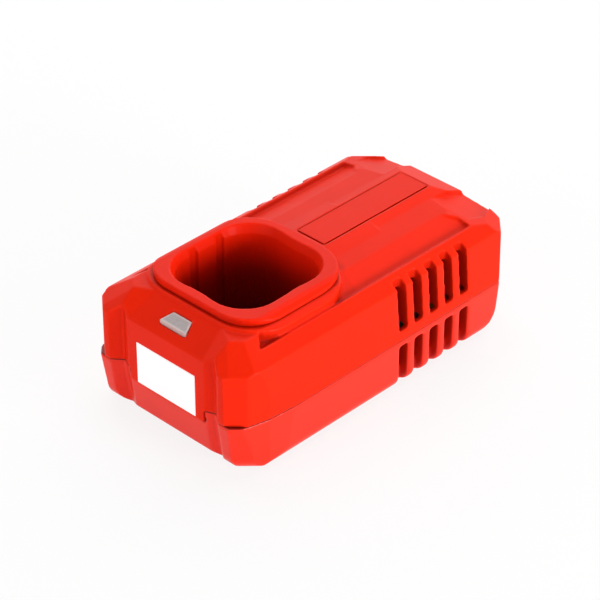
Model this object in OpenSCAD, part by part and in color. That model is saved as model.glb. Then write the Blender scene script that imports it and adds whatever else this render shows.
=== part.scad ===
// Battery charger for a hand tool's plug-in battery pack.
// +Z is up and the charger stands on z = 0. The front, with the label, faces -Y.
// Lengths are millimetres. "Depth" values run back from the front face.

/* [Case] */
// Width of the case at the seam
case_w = 65.6; // [64:0.2:72]
// Length of the case
case_l = 119.6; // [118:0.2:130]
// Height of the lower case half
lower_h = 17; // [16:0.5:22]
// Height of the rear deck above the seam
deck_h = 24.4; // [24:0.1:28]
// Wall thickness of both case halves
wall = 2; // [1.6:0.1:2.2]
// Radius of the bottom edge along the sides
bottom_r = 4; // [3:0.25:5]
// Radius of the bottom edge at the front
front_r = 6; // [4:0.25:6.5]
// Radius of the bottom edge at the rear
end_r = 8.5; // [6:0.25:9]
// How far the lower half's front leans back, down to the case's floor
front_lean_in = 2.5; // [1.5:0.1:2.8]
// Inward lean of each side wall at the top of its upright part
side_draft = 1.5; // [1:0.1:1.8]
// Width of the sloped rear corners, seen from above
rear_corner_w = 8.3; // [7:0.1:9]
// Length of the sloped rear corners, seen from above
rear_corner_l = 8.7; // [8:0.1:10]
// Gap between parts that fit inside one another
fit_gap = 0.2; // [0.1:0.05:0.3]

/* [Side bands] */
// Height of the upright part of the side wall above the seam
crease_h = 17.7; // [17.5:0.1:18.5]
// Width of the sloped band, across the case
band_w = 4.7; // [4.4:0.1:5]
// Rise of the sloped band
band_rise = 3.3; // [3:0.1:3.4]
// Depth of the gutter behind the band's ridge
gutter_drop = 1.4; // [1:0.1:1.6]
// Half the width of the raised deck, at its foot in front of the step
deck_foot = 11.8; // [11:0.1:12.5]
// Half the width of the deck's foot behind the step
deck_foot_rear = 9.6; // [9:0.1:10.5]
// Half the width of the shelf beside the deck
shelf_half = 17.4; // [17:0.1:18]
// Height of the shelf's outer edge above the seam
shelf_h = 22.5; // [22:0.1:23]
// Depth where the gutter starts
gutter_from = 11; // [10.8:0.1:12]
// Distance from the gutter's rear end to the case's rear
gutter_rear = 16.2; // [15.6:0.2:19.6]

/* [Front] */
// Half the width of the panel that holds the label
panel_half = 15.9; // [15:0.1:16.5]
// Set-back of the panel from the pillars
panel_set = 1.4; // [1:0.1:2]
// Half the distance between the deepest lines of the two grooves
groove_half = 19.1; // [18:0.1:19.5]
// Depth of the grooves
groove_deep = 2.8; // [2.6:0.1:3.6]
// Half the distance between the two corner pillars
pillar_half = 22.6; // [22:0.1:23.5]
// Height of the panel above the seam
panel_h = 17.5; // [17:0.1:18]
// Slope of the front top, in degrees
front_slope = 31.5; // [30:0.5:33]
// Width of the label
label_w = 24.2; // [20:0.1:26]
// Height of the label
label_h = 14.2; // [12:0.1:14.4]
// Height of the label's lower edge below the seam
label_drop = 3.6; // [3:0.1:4]
// Thickness of the label
label_t = 0.25; // [0.2:0.05:0.4]
// Half the width of the tongue round the label
tongue_half = 15.5; // [14:0.1:15.6]
// Reach of the tongue below the seam
tongue_drop = 4.4; // [4.2:0.1:5]

/* [Battery well] */
// Width of the well's mouth
mouth_w = 38.2; // [37:0.1:39]
// Length of the well's mouth
mouth_l = 40.6; // [39:0.1:41.4]
// Depth of the centre of the well from the front
well_at = 35.3; // [35:0.1:36]
// Corner radius of the mouth
mouth_r = 12; // [10:0.5:13]
// Depth of the dents in the sides of the mouth
dent = 1.1; // [0.6:0.1:1.4]
// Width of the bevel inside the mouth
mouth_bevel = 1.1; // [0.8:0.1:1.4]
// Height of the bevel inside the mouth
mouth_bevel_h = 2.8; // [2:0.1:3.2]
// Wall of the well
well_wall = 1.8; // [1.5:0.1:2]
// Height of the well's floor below the seam
floor_drop = 7; // [6:0.1:7.5]
// Thickness of the well's floor
floor_t = 1.8; // [1.5:0.1:2]
// Height of the collar's rim above the seam
rim_h = 26.7; // [26:0.1:28]
// Half the width of the collar
collar_half = 23.5; // [23:0.1:24]
// Height of the ledge under the collar above the seam
ledge_h = 24.2; // [24:0.1:24.6]
// Half the width of the ledge
ledge_half = 25.7; // [25:0.1:26]
// Width of the two key grooves in the well
key_w = 3.2; // [2.5:0.1:4]
// Depth of the two key grooves in the well
key_deep = 0.9; // [0.6:0.1:1]
// Distance between the two key grooves
key_pitch = 10.7; // [9:0.1:12]

/* [Vents] */
// Number of vent slots on each side
vent_count = 5; // [3:1:5]
// Depth of the first slot's centre from the front
vent_at = 67.9; // [67:0.1:70]
// Distance between the slots
vent_pitch = 6.75; // [6:0.05:7]
// Width of each slot
vent_w = 3.7; // [3:0.1:4]

/* [Name plate] */
// Width of the plate in the deck
plate_w = 11; // [9:0.1:11.6]
// Distance from the plate's rear edge to the case's rear
plate_rear = 12.2; // [12:0.2:20]
// Depth of the plate's front edge from the front
plate_at = 61.4; // [61.2:0.1:62]
// Thickness of the plate
plate_t = 1; // [0.8:0.1:1.1]

/* [Light pipe] */
// Width of the lens along its front edge
lens_w = 10.8; // [9:0.1:12]
// Width of the lens along its back edge
lens_back_w = 7.6; // [6:0.1:9]
// Length of the lens, from front to back
lens_l = 4.3; // [3.6:0.1:4.8]
// Depth of the lens's front edge from the front
lens_at = 4.6; // [4.4:0.1:5]

/* [Fasteners and feet] */
// Diameter of the case screws
screw_d = 3; // [2.5:0.5:3]
// Length of the case screws under the head
screw_l = 14; // [12:1:16]
// Half the distance between the screws, across the case
screw_x = 25.5; // [25.2:0.1:25.8]
// Depth of the front screws from the front
screw_front = 10.6; // [10.4:0.1:12]
// Distance of the rear screws from the case's rear
screw_rear = 13; // [12.6:0.1:15.6]
// Diameter of the feet
foot_d = 10; // [8:0.5:12]
// Height of the feet below the case
foot_drop = 1; // [0.8:0.1:1.5]
// Half the distance between the feet, across the case
foot_x = 21; // [19:0.5:22]
// Depth of the front feet from the front
foot_front = 24; // [22:0.5:30]
// Distance of the rear feet from the case's rear
foot_rear = 27.6; // [25:0.2:34]

/* [Circuit board] */
// Width of the board
board_w = 42; // [41:0.5:42]
// Distance from the board's rear edge to the case's rear
board_rear = 9; // [8:0.5:10]
// Thickness of the board
board_t = 1.6; // [1.2:0.1:1.6]
// Height of the board's posts above the case's floor
post_h = 2.1; // [1.8:0.1:2.3]
// Depth of the board's front edge from the front
board_at = 7.2; // [7.1:0.1:7.5]

/* [Mains inlet] */
// Distance between the inlet's two pins
pin_pitch = 8.6; // [8.6]
// Diameter of the pins
pin_d = 2.36; // [2.36]
// Width of the plug's recess
recess_w = 15.8; // [15.6:0.1:16.2]
// Height of the plug's recess
recess_h = 7.6; // [7.4:0.1:7.8]
// Depth of the plug's recess
recess_deep = 12.6; // [12:0.1:13]
// Width of the inlet's housing
inlet_w = 19.6; // [19:0.1:20]
// Height of the inlet's housing
inlet_h = 10.8; // [10.4:0.1:11]
// Length of the inlet's housing
inlet_l = 17; // [16:0.5:18]

/* [Hidden] */

$fn = 48;
tiny = 0.01;
seam_z = foot_drop + lower_h;        // height of the seam above the table
half_w = case_w / 2;
mate_gap = 0.1;                      // gap between flat faces that only lie together
gutter_to = case_l - gutter_rear;
plate_l = case_l - plate_rear - plate_at;
board_l = case_l - board_rear - board_at;
big = 200;                           // larger than the case in every direction

red = [0.93, 0.16, 0.12];
dark_red = [0.85, 0.12, 0.09];

function at(depth) = depth - case_l / 2;     // y of a point that lies "depth" behind the front

// ---------------------------------------------------------------- outlines

// Rounds each corner of a closed outline. A corner is [x, y, radius].
function unit(v) = v / norm(v);
function arc_steps(turn) = max(1, ceil(abs(turn) / 12));
function rounded_corner(a, b, c) =
    let (u = unit([a[0] - b[0], a[1] - b[1]]), v = unit([c[0] - b[0], c[1] - b[1]]), r = b[2])
    r <= 0 ? [[b[0], b[1]]] :
    let (half = acos(u * v) / 2, reach = r / tan(half), middle = unit(u + v) * (r / sin(half)),
         centre = [b[0], b[1]] + middle,
         first = [b[0], b[1]] + u * reach - centre, last = [b[0], b[1]] + v * reach - centre,
         start = atan2(first[1], first[0]), sweep = atan2(last[1], last[0]) - start,
         turn = sweep > 180 ? sweep - 360 : sweep < -180 ? sweep + 360 : sweep,
         steps = arc_steps(turn))
    [for (i = [0 : steps]) centre + r * [cos(start + turn * i / steps), sin(start + turn * i / steps)]];
function rounded_outline(p) =
    let (n = len(p))
    [for (i = [0 : n - 1]) each rounded_corner(p[(i + n - 1) % n], p[i], p[(i + 1) % n])];

// A half outline on the right side, closed by its own mirror image.
function mirrored(p) = concat(p, [for (i = [len(p) - 1 : -1 : 0]) [-p[i][0], p[i][1], p[i][2]]]);

module box(lo, hi) { translate(lo) cube([hi[0] - lo[0], hi[1] - lo[1], hi[2] - lo[2]]); }

// An outline in x and z, drawn along y between two depths.
module along_y(from, to) {
    translate([0, at(to), 0]) rotate([90, 0, 0]) linear_extrude(to - from) children();
}

// An outline in depth and z, drawn across the whole case.
module across_x() {
    translate([-big / 2, at(0), 0]) rotate([90, 0, 90]) linear_extrude(big) children();
}

// Everything above a plane through a point. The slopes are the plane's rise along x and y.
module above(p, slope_x, slope_y) {
    tilt = atan(norm([slope_x, slope_y]));
    translate(p) rotate([0, 0, atan2(-slope_y, -slope_x)]) rotate([0, tilt, 0])
        translate([-big / 2, -big / 2, 0]) cube(big);
}

module both_sides() { children(); mirror([1, 0, 0]) children(); }

// The case seen from above, drawn in by t.
side_taper_at = 21;                  // depth where the sides start to lean in towards the front
corner_r = 3.6;                      // radius of the front corners
rear_lean = tan(22.5);               // how a wall's thickness shifts the ends of a sloped corner

// How far each point of the front corner lies in from the side, and its depth.
corner_points = [[4.4, 0], [2.4, 5.1], [0.8, 11.7], [0, side_taper_at]];

module case_outline(t = 0) {
    w = half_w - t;
    polygon(rounded_outline(mirrored(concat(
        [for (p = corner_points) [w - p[0], at(max(p[1], t)), p[1] > 0 ? 0 : corner_r - t / 2]],
        [[w, at(case_l - rear_corner_l - t * rear_lean), 0],
        [w - rear_corner_w + t * rear_lean, at(case_l - t), 0]]
    ))));
}

// Everything outside a wall that rises from a line between two points and leans inwards.
// The wall is drawn in by t.
module outside_wall(p, q, lean, t) {
    translate([p[0], p[1], 0]) rotate([0, 0, atan2(q[1] - p[1], q[0] - p[0])]) rotate([lean, 0, 0])
        translate([-big / 2, t - big, -big / 2]) cube(big);
}
module outside_leaning_corners(t) {
    both_sides() for (i = [1 : len(corner_points) - 1])
        outside_wall([half_w - corner_points[i - 1][0], at(corner_points[i - 1][1])],
            [half_w - corner_points[i][0], at(corner_points[i][1])], side_lean, t);
    both_sides() outside_wall([half_w, at(case_l - rear_corner_l)],
        [half_w - rear_corner_w, at(case_l)], side_lean, t);
}

// ---------------------------------------------------------------- outer forms, seam at z = 0

side_lean = atan(side_draft / crease_h);
ridge_x = half_w - side_draft - band_w;
ridge_z = crease_h + band_rise;
band_slope = band_rise / band_w;
shelf_slope = 0.1;
gutter_x = ridge_x - gutter_drop;

// Block with its leaning sides and sloped bands. The deck is its flat top.
module block_section() {
    top_x = ridge_x - (deck_h - ridge_z) / band_slope;
    polygon([
        [-half_w, -tiny], [half_w, -tiny], [half_w - side_draft, crease_h], [top_x, deck_h],
        [-top_x, deck_h], [-half_w + side_draft, crease_h]
    ]);
}

// What is cut away beside the deck, down to the shelf, on the right side.
deck_half = plate_w / 2 + 0.7;
module shelf_cut(foot) {
    polygon([
        [deck_half, deck_h + 1], [deck_half, deck_h],
        [foot, shelf_h + shelf_slope * (shelf_half - foot)],
        [shelf_half, shelf_h], [shelf_half + 0.5, shelf_h], [half_w, shelf_h], [half_w, deck_h + 1]
    ]);
}

// The gutter between the shelf and the band's ridge, on the right side.
module gutter_cut() {
    polygon([
        [shelf_half - tiny, shelf_h], [gutter_x, ridge_z - gutter_drop], [ridge_x, ridge_z],
        [half_w, ridge_z + 2], [half_w, deck_h + 1], [shelf_half - tiny, deck_h + 1]
    ]);
}

// Rear end of the upper half, from the side.
rear_deck_h = 20.3;
rear_top_h = 19.2;
rear_slope_from = case_l - 11.8;
module rear_section() {
    polygon([
        [-1, -tiny], [case_l, -tiny], [case_l - 1, crease_h - 1], [case_l - 2.1, rear_deck_h],
        [rear_slope_from, deck_h + tiny], [rear_slope_from, deck_h + 1], [-1, deck_h + 1]
    ]);
}

step_from = 80.1;
step_to = 84;
front_slope_rise = tan(front_slope);

module upper_form() {
    difference() {
        intersection() {
            linear_extrude(deck_h) case_outline();
            along_y(-1, case_l + 1) block_section();
            across_x() rear_section();
        }
        both_sides() {
            shelf_from = well_at + mouth_l / 2;
            along_y(shelf_from, step_to) shelf_cut(deck_foot);
            along_y(step_from, case_l + 1) shelf_cut(deck_foot_rear);
            gutter_body();
            rear_corner_cut();
        }
        front_recess();
        front_corner_cut();
        outside_leaning_corners(0);
    }
    ledge();
}

// The upper half's front corners are cut flat between the pillar and the side.
corner_cut_x = 24.9;                 // where the cut starts on the front face
corner_cut_deep = 4.6;               // depth where it meets the side
corner_cut_in = 2.6;                 // how far in from the side it ends
module front_corner_cut() {
    both_sides() translate([0, 0, -tiny]) linear_extrude(deck_h) polygon([
        [corner_cut_x, at(0)], [half_w - corner_cut_in, at(corner_cut_deep)],
        [half_w + 1, at(corner_cut_deep)], [half_w + 1, at(-1)], [corner_cut_x, at(-1)]
    ]);
}

// The gutter, with its two rounded ends.
module gutter_body() {
    intersection() {
        along_y(gutter_from, gutter_to) gutter_cut();
        translate([0, 0, ridge_z - 6]) linear_extrude(12) polygon(rounded_outline([
            [0, at(gutter_from + 7), 0], [shelf_half + 3, at(gutter_from + 7), 2],
            [ridge_x - 1.2, at(gutter_from + 3.6), 2.5], [ridge_x + 0.3, at(gutter_from), 0],
            [half_w, at(gutter_from + 3), 0],
            [half_w, at(gutter_to + 1), 0], [ridge_x - 1, at(gutter_to + 1), 0],
            [shelf_half + 5.5, at(gutter_to + 1), 3], [shelf_half, at(gutter_to - 3.5), 0], [0, at(gutter_to - 4), 0]
        ]));
    }
}

// The shelf runs down to the rear, and the corner block beside it is a little higher.
module rear_corner_cut() {
    scoop_from = gutter_to - 4;
    intersection() {
        above([ridge_x, at(gutter_to), ridge_z], -0.15, -0.16);
        box([shelf_half, at(scoop_from), 0], [half_w, at(case_l + 1), deck_h + 1]);
    }
    rear_corner_band(0);
    intersection() {
        above([shelf_half, at(scoop_from + 4), shelf_h], -0.12, -0.3);
        linear_extrude(deck_h + 1) polygon(rounded_outline([
            [deck_foot_rear, at(scoop_from), 0], [shelf_half, at(scoop_from), 0],
            [shelf_half + 6, at(scoop_from + 4), 3], [shelf_half + 7.5, at(scoop_from + 12), 6],
            [shelf_half + 3, at(case_l + 1), 0], [deck_foot_rear + 1.6, at(case_l + 1), 0]
        ]));
    }
}

// The sloped band runs round the rear corner too.
module rear_corner_band(t) {
    above([half_w - side_draft - rear_corner_w / 2, at(case_l - rear_corner_l / 2 - side_draft * rear_lean),
        crease_h - t], -band_slope * cos(45), -band_slope * sin(45));
}

// The sloped front top lies between two shoulders over the pillars. The sloped band of each
// side runs round the front corner up to its shoulder, and nothing there rises as high as the ledge.
shoulder_slope_x = 0.29;
shoulder_slope_y = 0.72;
shoulder_x = 21.1;
shoulder_z = 17.5;
front_top_h = 23.4;
module front_recess() {
    recess_to = gutter_from + 7;
    box([-half_w, at(-1), front_top_h], [half_w, at(recess_to), deck_h + 1]);
    both_sides() intersection() {
        front_corner_band(0);
        box([0, at(-1), 0], [half_w + 1, at(recess_to), deck_h + 1]);
    }
    intersection() {
        above([0, at(panel_set), panel_h], 0, front_slope_rise);
        both_sides_meet() above([panel_half - 0.8, at(panel_set), panel_h], 0.36, front_slope_rise + 0.06);
        box([-half_w, at(-1), 0], [half_w, at(recess_to), deck_h + 1]);
    }
    both_sides() intersection() {
        shoulder(0);
        box([0, at(-1), 0], [half_w + 1, at(recess_to), deck_h + 1]);
    }
}

module shoulder(t) {
    above([shoulder_x, at(0), shoulder_z - t], -shoulder_slope_x, shoulder_slope_y);
}
module front_corner_band(t) {
    above([(corner_cut_x + half_w - corner_cut_in) / 2 - side_draft / 2, at(corner_cut_deep / 2), crease_h - 0.5 - t],
        -band_slope * sin(41), band_slope * cos(41));
}

module both_sides_meet() {
    intersection() { children(); mirror([1, 0, 0]) children(); }
}

// The ledge that the well's collar stands on.
module rounded_box(half_x, from, to, front_r, rear_r) {
    polygon(rounded_outline([
        [-half_x, at(from), front_r], [half_x, at(from), front_r],
        [half_x, at(to), rear_r], [-half_x, at(to), rear_r]
    ]));
}
collar_from = well_at - mouth_l / 2 - 2.5;
collar_to = well_at + mouth_l / 2 + 2.5;
collar_front_r = mouth_r;
collar_rear_r = mouth_r + 3.5;
ledge_edge_h = 23.1;                 // height of the ledge's outer edges beside the collar
module ledge() {
    intersection() {
        translate([0, 0, crease_h - 2]) linear_extrude(ledge_h - crease_h + 2)
            rounded_box(ledge_half, collar_from - 1.2, collar_to - 2, collar_front_r + 1.5, collar_rear_r - 1.5);
        along_y(0, case_l) polygon([
            [-ledge_half, 0], [ledge_half, 0], [ledge_half, ledge_edge_h], [collar_half - 0.4, ledge_h],
            [-collar_half + 0.4, ledge_h], [-ledge_half, ledge_edge_h]
        ]);
    }
}

// Lower half's outer form, from z = -lower_h up to the seam.
module lower_section(half, drop, r) {
    polygon(rounded_outline([
        [half, tiny, 0], [-half, tiny, 0], [-half + drop / 60, -drop, r], [half - drop / 60, -drop, r]
    ]));
}
module lower_side_section(inset, drop, r, rear_r) {
    polygon(rounded_outline([
        [case_l - inset, tiny, 0], [inset, tiny, 0],
        [inset + front_lean_in * drop / lower_h, -drop, r], [case_l - inset, -drop, rear_r]
    ]));
}
front_diagonal_in = 2.3;             // how far the front corners lean in, down to the case's floor
front_corner_r = 5;                  // radius of their bottom edge
rear_diagonal_in = 1.5;
module lower_form(t = 0) {
    difference() {
        intersection() {
            translate([0, 0, -lower_h]) linear_extrude(lower_h) case_outline(t);
            along_y(-1, case_l + 1) lower_section(half_w - t, lower_h - t, bottom_r - t / 2);
            across_x() lower_side_section(t, lower_h - t, front_r - t / 2, end_r - t);
        }
        both_sides() outside_diagonal(t);
    }
}

// Turns what is drawn upright back with the lower half's front, about the seam's front line.
module leaning_front() {
    translate([0, at(0), 0]) rotate([atan(front_lean_in / lower_h), 0, 0]) translate([0, -at(0), 0]) children();
}

// The lower corners curve in under the case, seen along each diagonal.
front_reach = (half_w - corner_points[0][0] + case_l / 2) * cos(45) - corner_r * (sqrt(2) - 1) * 0.8;
rear_reach = (half_w - rear_corner_w / 2 + case_l / 2 - rear_corner_l / 2) * cos(45);
module outside_diagonal(t) {
    rotate([0, 0, -45]) rotate([90, 0, 0]) linear_extrude(big, center = true) difference() {
        translate([-big / 2, -lower_h - 1]) square([big, lower_h + 1]);
        polygon(rounded_outline([
            [front_reach - t, 0, 0], [-rear_reach + t, 0, 0],
            [-rear_reach + t + rear_diagonal_in, -lower_h + t, end_r - t],
            [front_reach - t - front_diagonal_in, -lower_h + t, front_corner_r - t / 2]
        ]));
    }
}

// ---------------------------------------------------------------- cuts that both halves share

// Room in front of the panel and the two grooves beside it, as seen from above.
module front_notch() {
    polygon([
        [-pillar_half, at(-tiny)], [-groove_half, at(groove_deep)], [-panel_half, at(panel_set)],
        [panel_half, at(panel_set)], [groove_half, at(groove_deep)], [pillar_half, at(-tiny)],
        [pillar_half, at(-2)], [-pillar_half, at(-2)]
    ]);
}

function vent_centres() = [for (i = [0 : vent_count - 1]) vent_at + i * vent_pitch];

vent_gap_up = 3.2;                   // from the seam up to the upper slots
vent_gap_down = 2.2;                 // from the seam down to the lower slots

module tongue_outline(gap) {
    translate([0, -tongue_drop]) polygon(rounded_outline([
        [-tongue_half - gap, -gap, 1.2], [tongue_half + gap, -gap, 1.2],
        [tongue_half + gap, tongue_drop + 1, 0], [-tongue_half - gap, tongue_drop + 1, 0]
    ]));
}

// Lip of the lower half that stands inside the upper one.
lip_h = 1.5;
lip_t = wall / 2;
lip_from = 7;                        // depth where the lip starts, behind the grooves

// ---------------------------------------------------------------- upper shell

ceiling = deck_h - plate_t - 2.4;
module upper_room() {
    w = half_w - wall;
    back = case_l - wall;
    front = groove_deep + wall;
    difference() {
        upper_room_block(w, back, front);
        outside_leaning_corners(wall);
        both_sides() shoulder(wall * 1.3);
        both_sides() front_corner_band(wall * 1.3);
        both_sides() rear_corner_band(wall * 1.3);
    }
}
module upper_room_block(w, back, front) {
    intersection() {
        translate([0, 0, -tiny]) linear_extrude(deck_h) case_outline(wall);
        along_y(front, back) polygon([
            [-w, -tiny], [w, -tiny], [w - side_draft, crease_h - 1.2],
            [gutter_x, ridge_z - gutter_drop - wall], [shelf_half - 1, shelf_h - wall - 0.3],
            [deck_half, ceiling], [-deck_half, ceiling], [-shelf_half + 1, shelf_h - wall - 0.3],
            [-gutter_x, ridge_z - gutter_drop - wall], [-w + side_draft, crease_h - 1.2]
        ]);
        across_x() polygon([
            [front, -tiny], [back, -tiny], [back - 2.4, rear_top_h - 5], [rear_slope_from - 3, ceiling],
            [front + 8, ceiling], [front, panel_h - 1]
        ]);
    }
}

upper_boss_d = 7;
lower_boss_d = 8;
boss_meet = 1;                       // the bosses meet this far below the seam
pilot_d = screw_d - 0.5;
screw_seat = screw_l / 2;            // seat of the screw's head below the seam
function case_screw_spots() = [
    [-screw_x, at(screw_front)], [screw_x, at(screw_front)],
    [-screw_x, at(case_l - screw_rear)], [screw_x, at(case_l - screw_rear)]
];

module upper_boss(p) {
    translate([p[0], p[1], -boss_meet + mate_gap]) cylinder(d = upper_boss_d, h = crease_h);
}

// Outline of the well, grown by t.
module well_outline(t = 0) {
    x = mouth_w / 2 + t;
    y = mouth_l / 2 + t;
    r = mouth_r + t;
    soft = 22 - t;
    translate([0, at(well_at)]) polygon(rounded_outline([
        [-x - 0.3, -y - 0.2, r], [-1, -y + dent, soft], [x, -y - 0.2, r],
        [x - dent, 1.5, soft], [x, y + 0.2, r], [1.5, y - dent, soft], [-x - 0.3, y + 0.2, r]
    ]));
}
tube_t = well_wall - mouth_bevel;    // how far the tube's outside lies beyond the mouth

module lens_outline(gap) {
    polygon([
        [-lens_w / 2 - gap, at(lens_at - gap)], [lens_w / 2 + gap, at(lens_at - gap)],
        [lens_back_w / 2 + gap, at(lens_at + lens_l + gap)],
        [-lens_back_w / 2 - gap, at(lens_at + lens_l + gap)]
    ]);
}

module plate_recess(gap, deep) {
    box([-plate_w / 2 - gap, at(plate_at - gap), deck_h - deep],
        [plate_w / 2 + gap, at(plate_at + plate_l + gap), deck_h + 1]);
}

// The upper slots are cut through the wall and the thicker frame behind it. Where they run up
// into the sloped band, their tops are slanted as the band is.
vent_frame_x = half_w - side_draft - wall - 3;
vent_wide_from = 1.6;                // the slots are open to the inside from here up
vent_top_in = 2.9;                   // how far the slots' tops reach into the band, across the case
module upper_vents() {
    for (d = vent_centres()) both_sides() along_y(d - vent_w / 2, d + vent_w / 2) polygon([
        [half_w - side_draft - vent_top_in, vent_gap_up], [half_w + 1, vent_gap_up], [half_w + 1, deck_h],
        [half_w - side_draft - vent_top_in, crease_h + vent_top_in * band_slope + 0.4],
        [half_w - side_draft - vent_top_in, crease_h - 1.4]
    ]);
    for (d = vent_centres()) both_sides()
        box([vent_frame_x - 1, at(d - vent_w / 2), vent_gap_up + vent_wide_from],
            [half_w + 1, at(d + vent_w / 2), crease_h - 1.4]);
}
module vent_frame() {
    last = vent_at + (vent_count - 1) * vent_pitch;
    both_sides() box([vent_frame_x, at(vent_at - vent_w / 2 - 1.2), vent_gap_up + vent_wide_from - 1.2],
        [half_w, at(last + vent_w / 2 + 1.2), crease_h]);
}

pillar_lean = 5;
module upper_shell() {
    color(red) translate([0, 0, seam_z]) difference() {
        union() {
            difference() {
                upper_form();
                upper_room();
            }
            intersection() {
                union() for (p = case_screw_spots()) upper_boss(p);
                union() { upper_room(); lower_room(); }
            }
            intersection() {
                vent_frame();
                upper_room();
            }
            tongue();
            light_pipe_sleeve();
        }
        for (p = case_screw_spots())
            translate([p[0], p[1], -boss_meet]) cylinder(d = pilot_d, h = screw_l - screw_seat + boss_meet + 1);
        translate([0, 0, -tiny]) linear_extrude(deck_h + 1) front_notch();
        both_sides() translate([pillar_half, at(0), 0]) rotate([0, -pillar_lean, 0])
            translate([-pillar_half, -at(0), -tiny]) linear_extrude(deck_h) polygon([
                [groove_half, at(-2)], [groove_half, at(groove_deep)], [pillar_half, at(-tiny)],
                [pillar_half, at(-2)]
            ]);
        translate([0, 0, crease_h]) linear_extrude(deck_h) well_outline(tube_t + fit_gap);
        plate_recess(fit_gap / 2, plate_t);
        translate([0, 0, crease_h - 4]) linear_extrude(deck_h) lens_outline(fit_gap / 2);
        upper_vents();
        label_recess();
        lip_rebate();
        inlet_notch(0);
    }
}

module tongue() {
    intersection() {
        translate([0, at(panel_set + wall), 0]) rotate([90, 0, 0]) linear_extrude(wall) tongue_outline(0);
        box([-half_w, at(-1), -big], [half_w, at(groove_deep + wall), 1]);
    }
}

// The light pipe's sleeve under the sloped front.
sleeve_wall = 1.2;
module light_pipe_sleeve() {
    intersection() {
        translate([0, 0, crease_h - 4]) linear_extrude(8) difference() {
            box2([-lens_w / 2 - sleeve_wall, lens_at - sleeve_wall], [lens_w / 2 + sleeve_wall, lens_at + lens_l + sleeve_wall]);
            lens_outline(fit_gap / 2);
        }
        upper_room();
    }
}
module box2(lo, hi) { translate([lo[0], at(lo[1])]) square([hi[0] - lo[0], hi[1] - lo[1]]); }

module label_recess() {
    translate([0, at(panel_set) + label_t / 2, 0]) rotate([90, 0, 0])
        linear_extrude(label_t) label_outline(fit_gap / 2);
}
module label_outline(gap) {
    translate([-label_w / 2 - gap, -label_drop - gap]) square([label_w + 2 * gap, label_h + 2 * gap]);
}

module lip_rebate() {
    translate([0, 0, -1]) linear_extrude(lip_h + mate_gap + 1) difference() {
        case_outline(lip_t);
        case_outline(wall + 0.6);
        box2([-half_w, -1], [half_w, lip_from - fit_gap]);
    }
}

// ---------------------------------------------------------------- lower shell

vent_floor_in = 3.6;                 // how far the lower slots cut into the rounded bottom edge
vent_back_h = wall + 3;              // height of the walls behind their lower ends
module lower_vents() {
    for (d = vent_centres()) both_sides() {
        box([half_w - vent_floor_in, at(d - vent_w / 2), -lower_h - 1],
            [half_w + 1, at(d + vent_w / 2), -vent_gap_down]);
        box([half_w - vent_floor_in - wall - 1, at(d - vent_w / 2), -lower_h + vent_back_h],
            [half_w + 1, at(d + vent_w / 2), -vent_gap_down]);
    }
}

board_z = -lower_h + wall + post_h;
board_top = board_z + board_t;
post_front = 10.4;                   // depths of the board's posts
post_middle = 64;
post_rear = case_l - 30;
board_screw_spots = [[-17.3, at(post_front)], [18.2, at(post_rear)]];
board_post_spots = [
    [17.3, at(post_front)], [-18.2, at(post_middle)], [18.2, at(post_middle)], [-18.2, at(post_rear - 2)]
];

module lower_room() {
    difference() {
        lower_form(wall);
        leaning_front() box([-big, at(-1), -big], [big, at(groove_deep + wall), big]);
    }
}

module lower_shell() {
    color(dark_red) translate([0, 0, seam_z]) difference() {
        union() {
            difference() {
                lower_form();
                lower_room();
            }
            lower_lip();
            intersection() {
                union() {
                    for (p = case_screw_spots()) translate([p[0], p[1], -lower_h])
                        cylinder(d = lower_boss_d, h = lower_h - boss_meet);
                    for (p = board_screw_spots) board_post(p);
                    for (p = board_post_spots) board_post(p);
                    vent_backs();
                }
                lower_form(wall / 2);
            }
        }
        for (p = case_screw_spots()) translate([p[0], p[1], -lower_h - 1]) {
            cylinder(d = screw_d + 0.4, h = lower_h + 1);
            cylinder(d = 2 * screw_d + 0.4, h = lower_h - screw_seat + 1);
        }
        for (p = board_screw_spots) translate([p[0], p[1], -lower_h + wall / 2])
            cylinder(d = board_pilot_d, h = wall + post_h);
        leaning_front() translate([0, 0, -lower_h - 1]) linear_extrude(lower_h + 2) front_notch();
        translate([0, at(panel_set + wall + fit_gap), 0]) rotate([90, 0, 0])
            linear_extrude(wall + panel_set + 2) tongue_outline(fit_gap);
        lower_vents();
        for (p = foot_spots()) translate([p[0], p[1], -lower_h - tiny])
            cylinder(d = foot_d + 2 * fit_gap, h = foot_seat);
        inlet_notch(fit_gap);
    }
}

// A thicker frame behind the lower slots. They end blind in it where they cross the floor's edge.
module vent_backs() {
    last = vent_at + (vent_count - 1) * vent_pitch;
    both_sides() box([half_w - vent_floor_in - wall, at(vent_at - vent_w / 2 - wall), -lower_h],
        [half_w - wall / 2, at(last + vent_w / 2 + wall), -vent_gap_down + 1]);
}

board_pilot_d = 2;
board_post_d = 5;
module board_post(p) {
    translate([p[0], p[1], -lower_h + tiny]) cylinder(d = board_post_d, h = wall + post_h - tiny);
}

module lower_lip() {
    difference() {
        translate([0, 0, -2]) linear_extrude(lip_h + 2) difference() {
            case_outline(lip_t + fit_gap);
            case_outline(wall + 0.3);
        }
        box([-half_w, at(-1), -3], [half_w, at(lip_from), 3]);
        for (p = case_screw_spots()) translate([p[0], p[1], -3]) cylinder(d = upper_boss_d + 0.6, h = 6);
    }
}

// Where the inlet looks out at the rear. The lower half is open up to the seam.
inlet_x = 0;
inlet_top = board_top + inlet_h;
module inlet_notch(gap) {
    box([inlet_x - inlet_w / 2 - gap, at(case_l - wall - 3), board_top - gap],
        [inlet_x + inlet_w / 2 + gap, at(case_l + 1), max(inlet_top + gap, tiny + gap)]);
}

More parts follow.
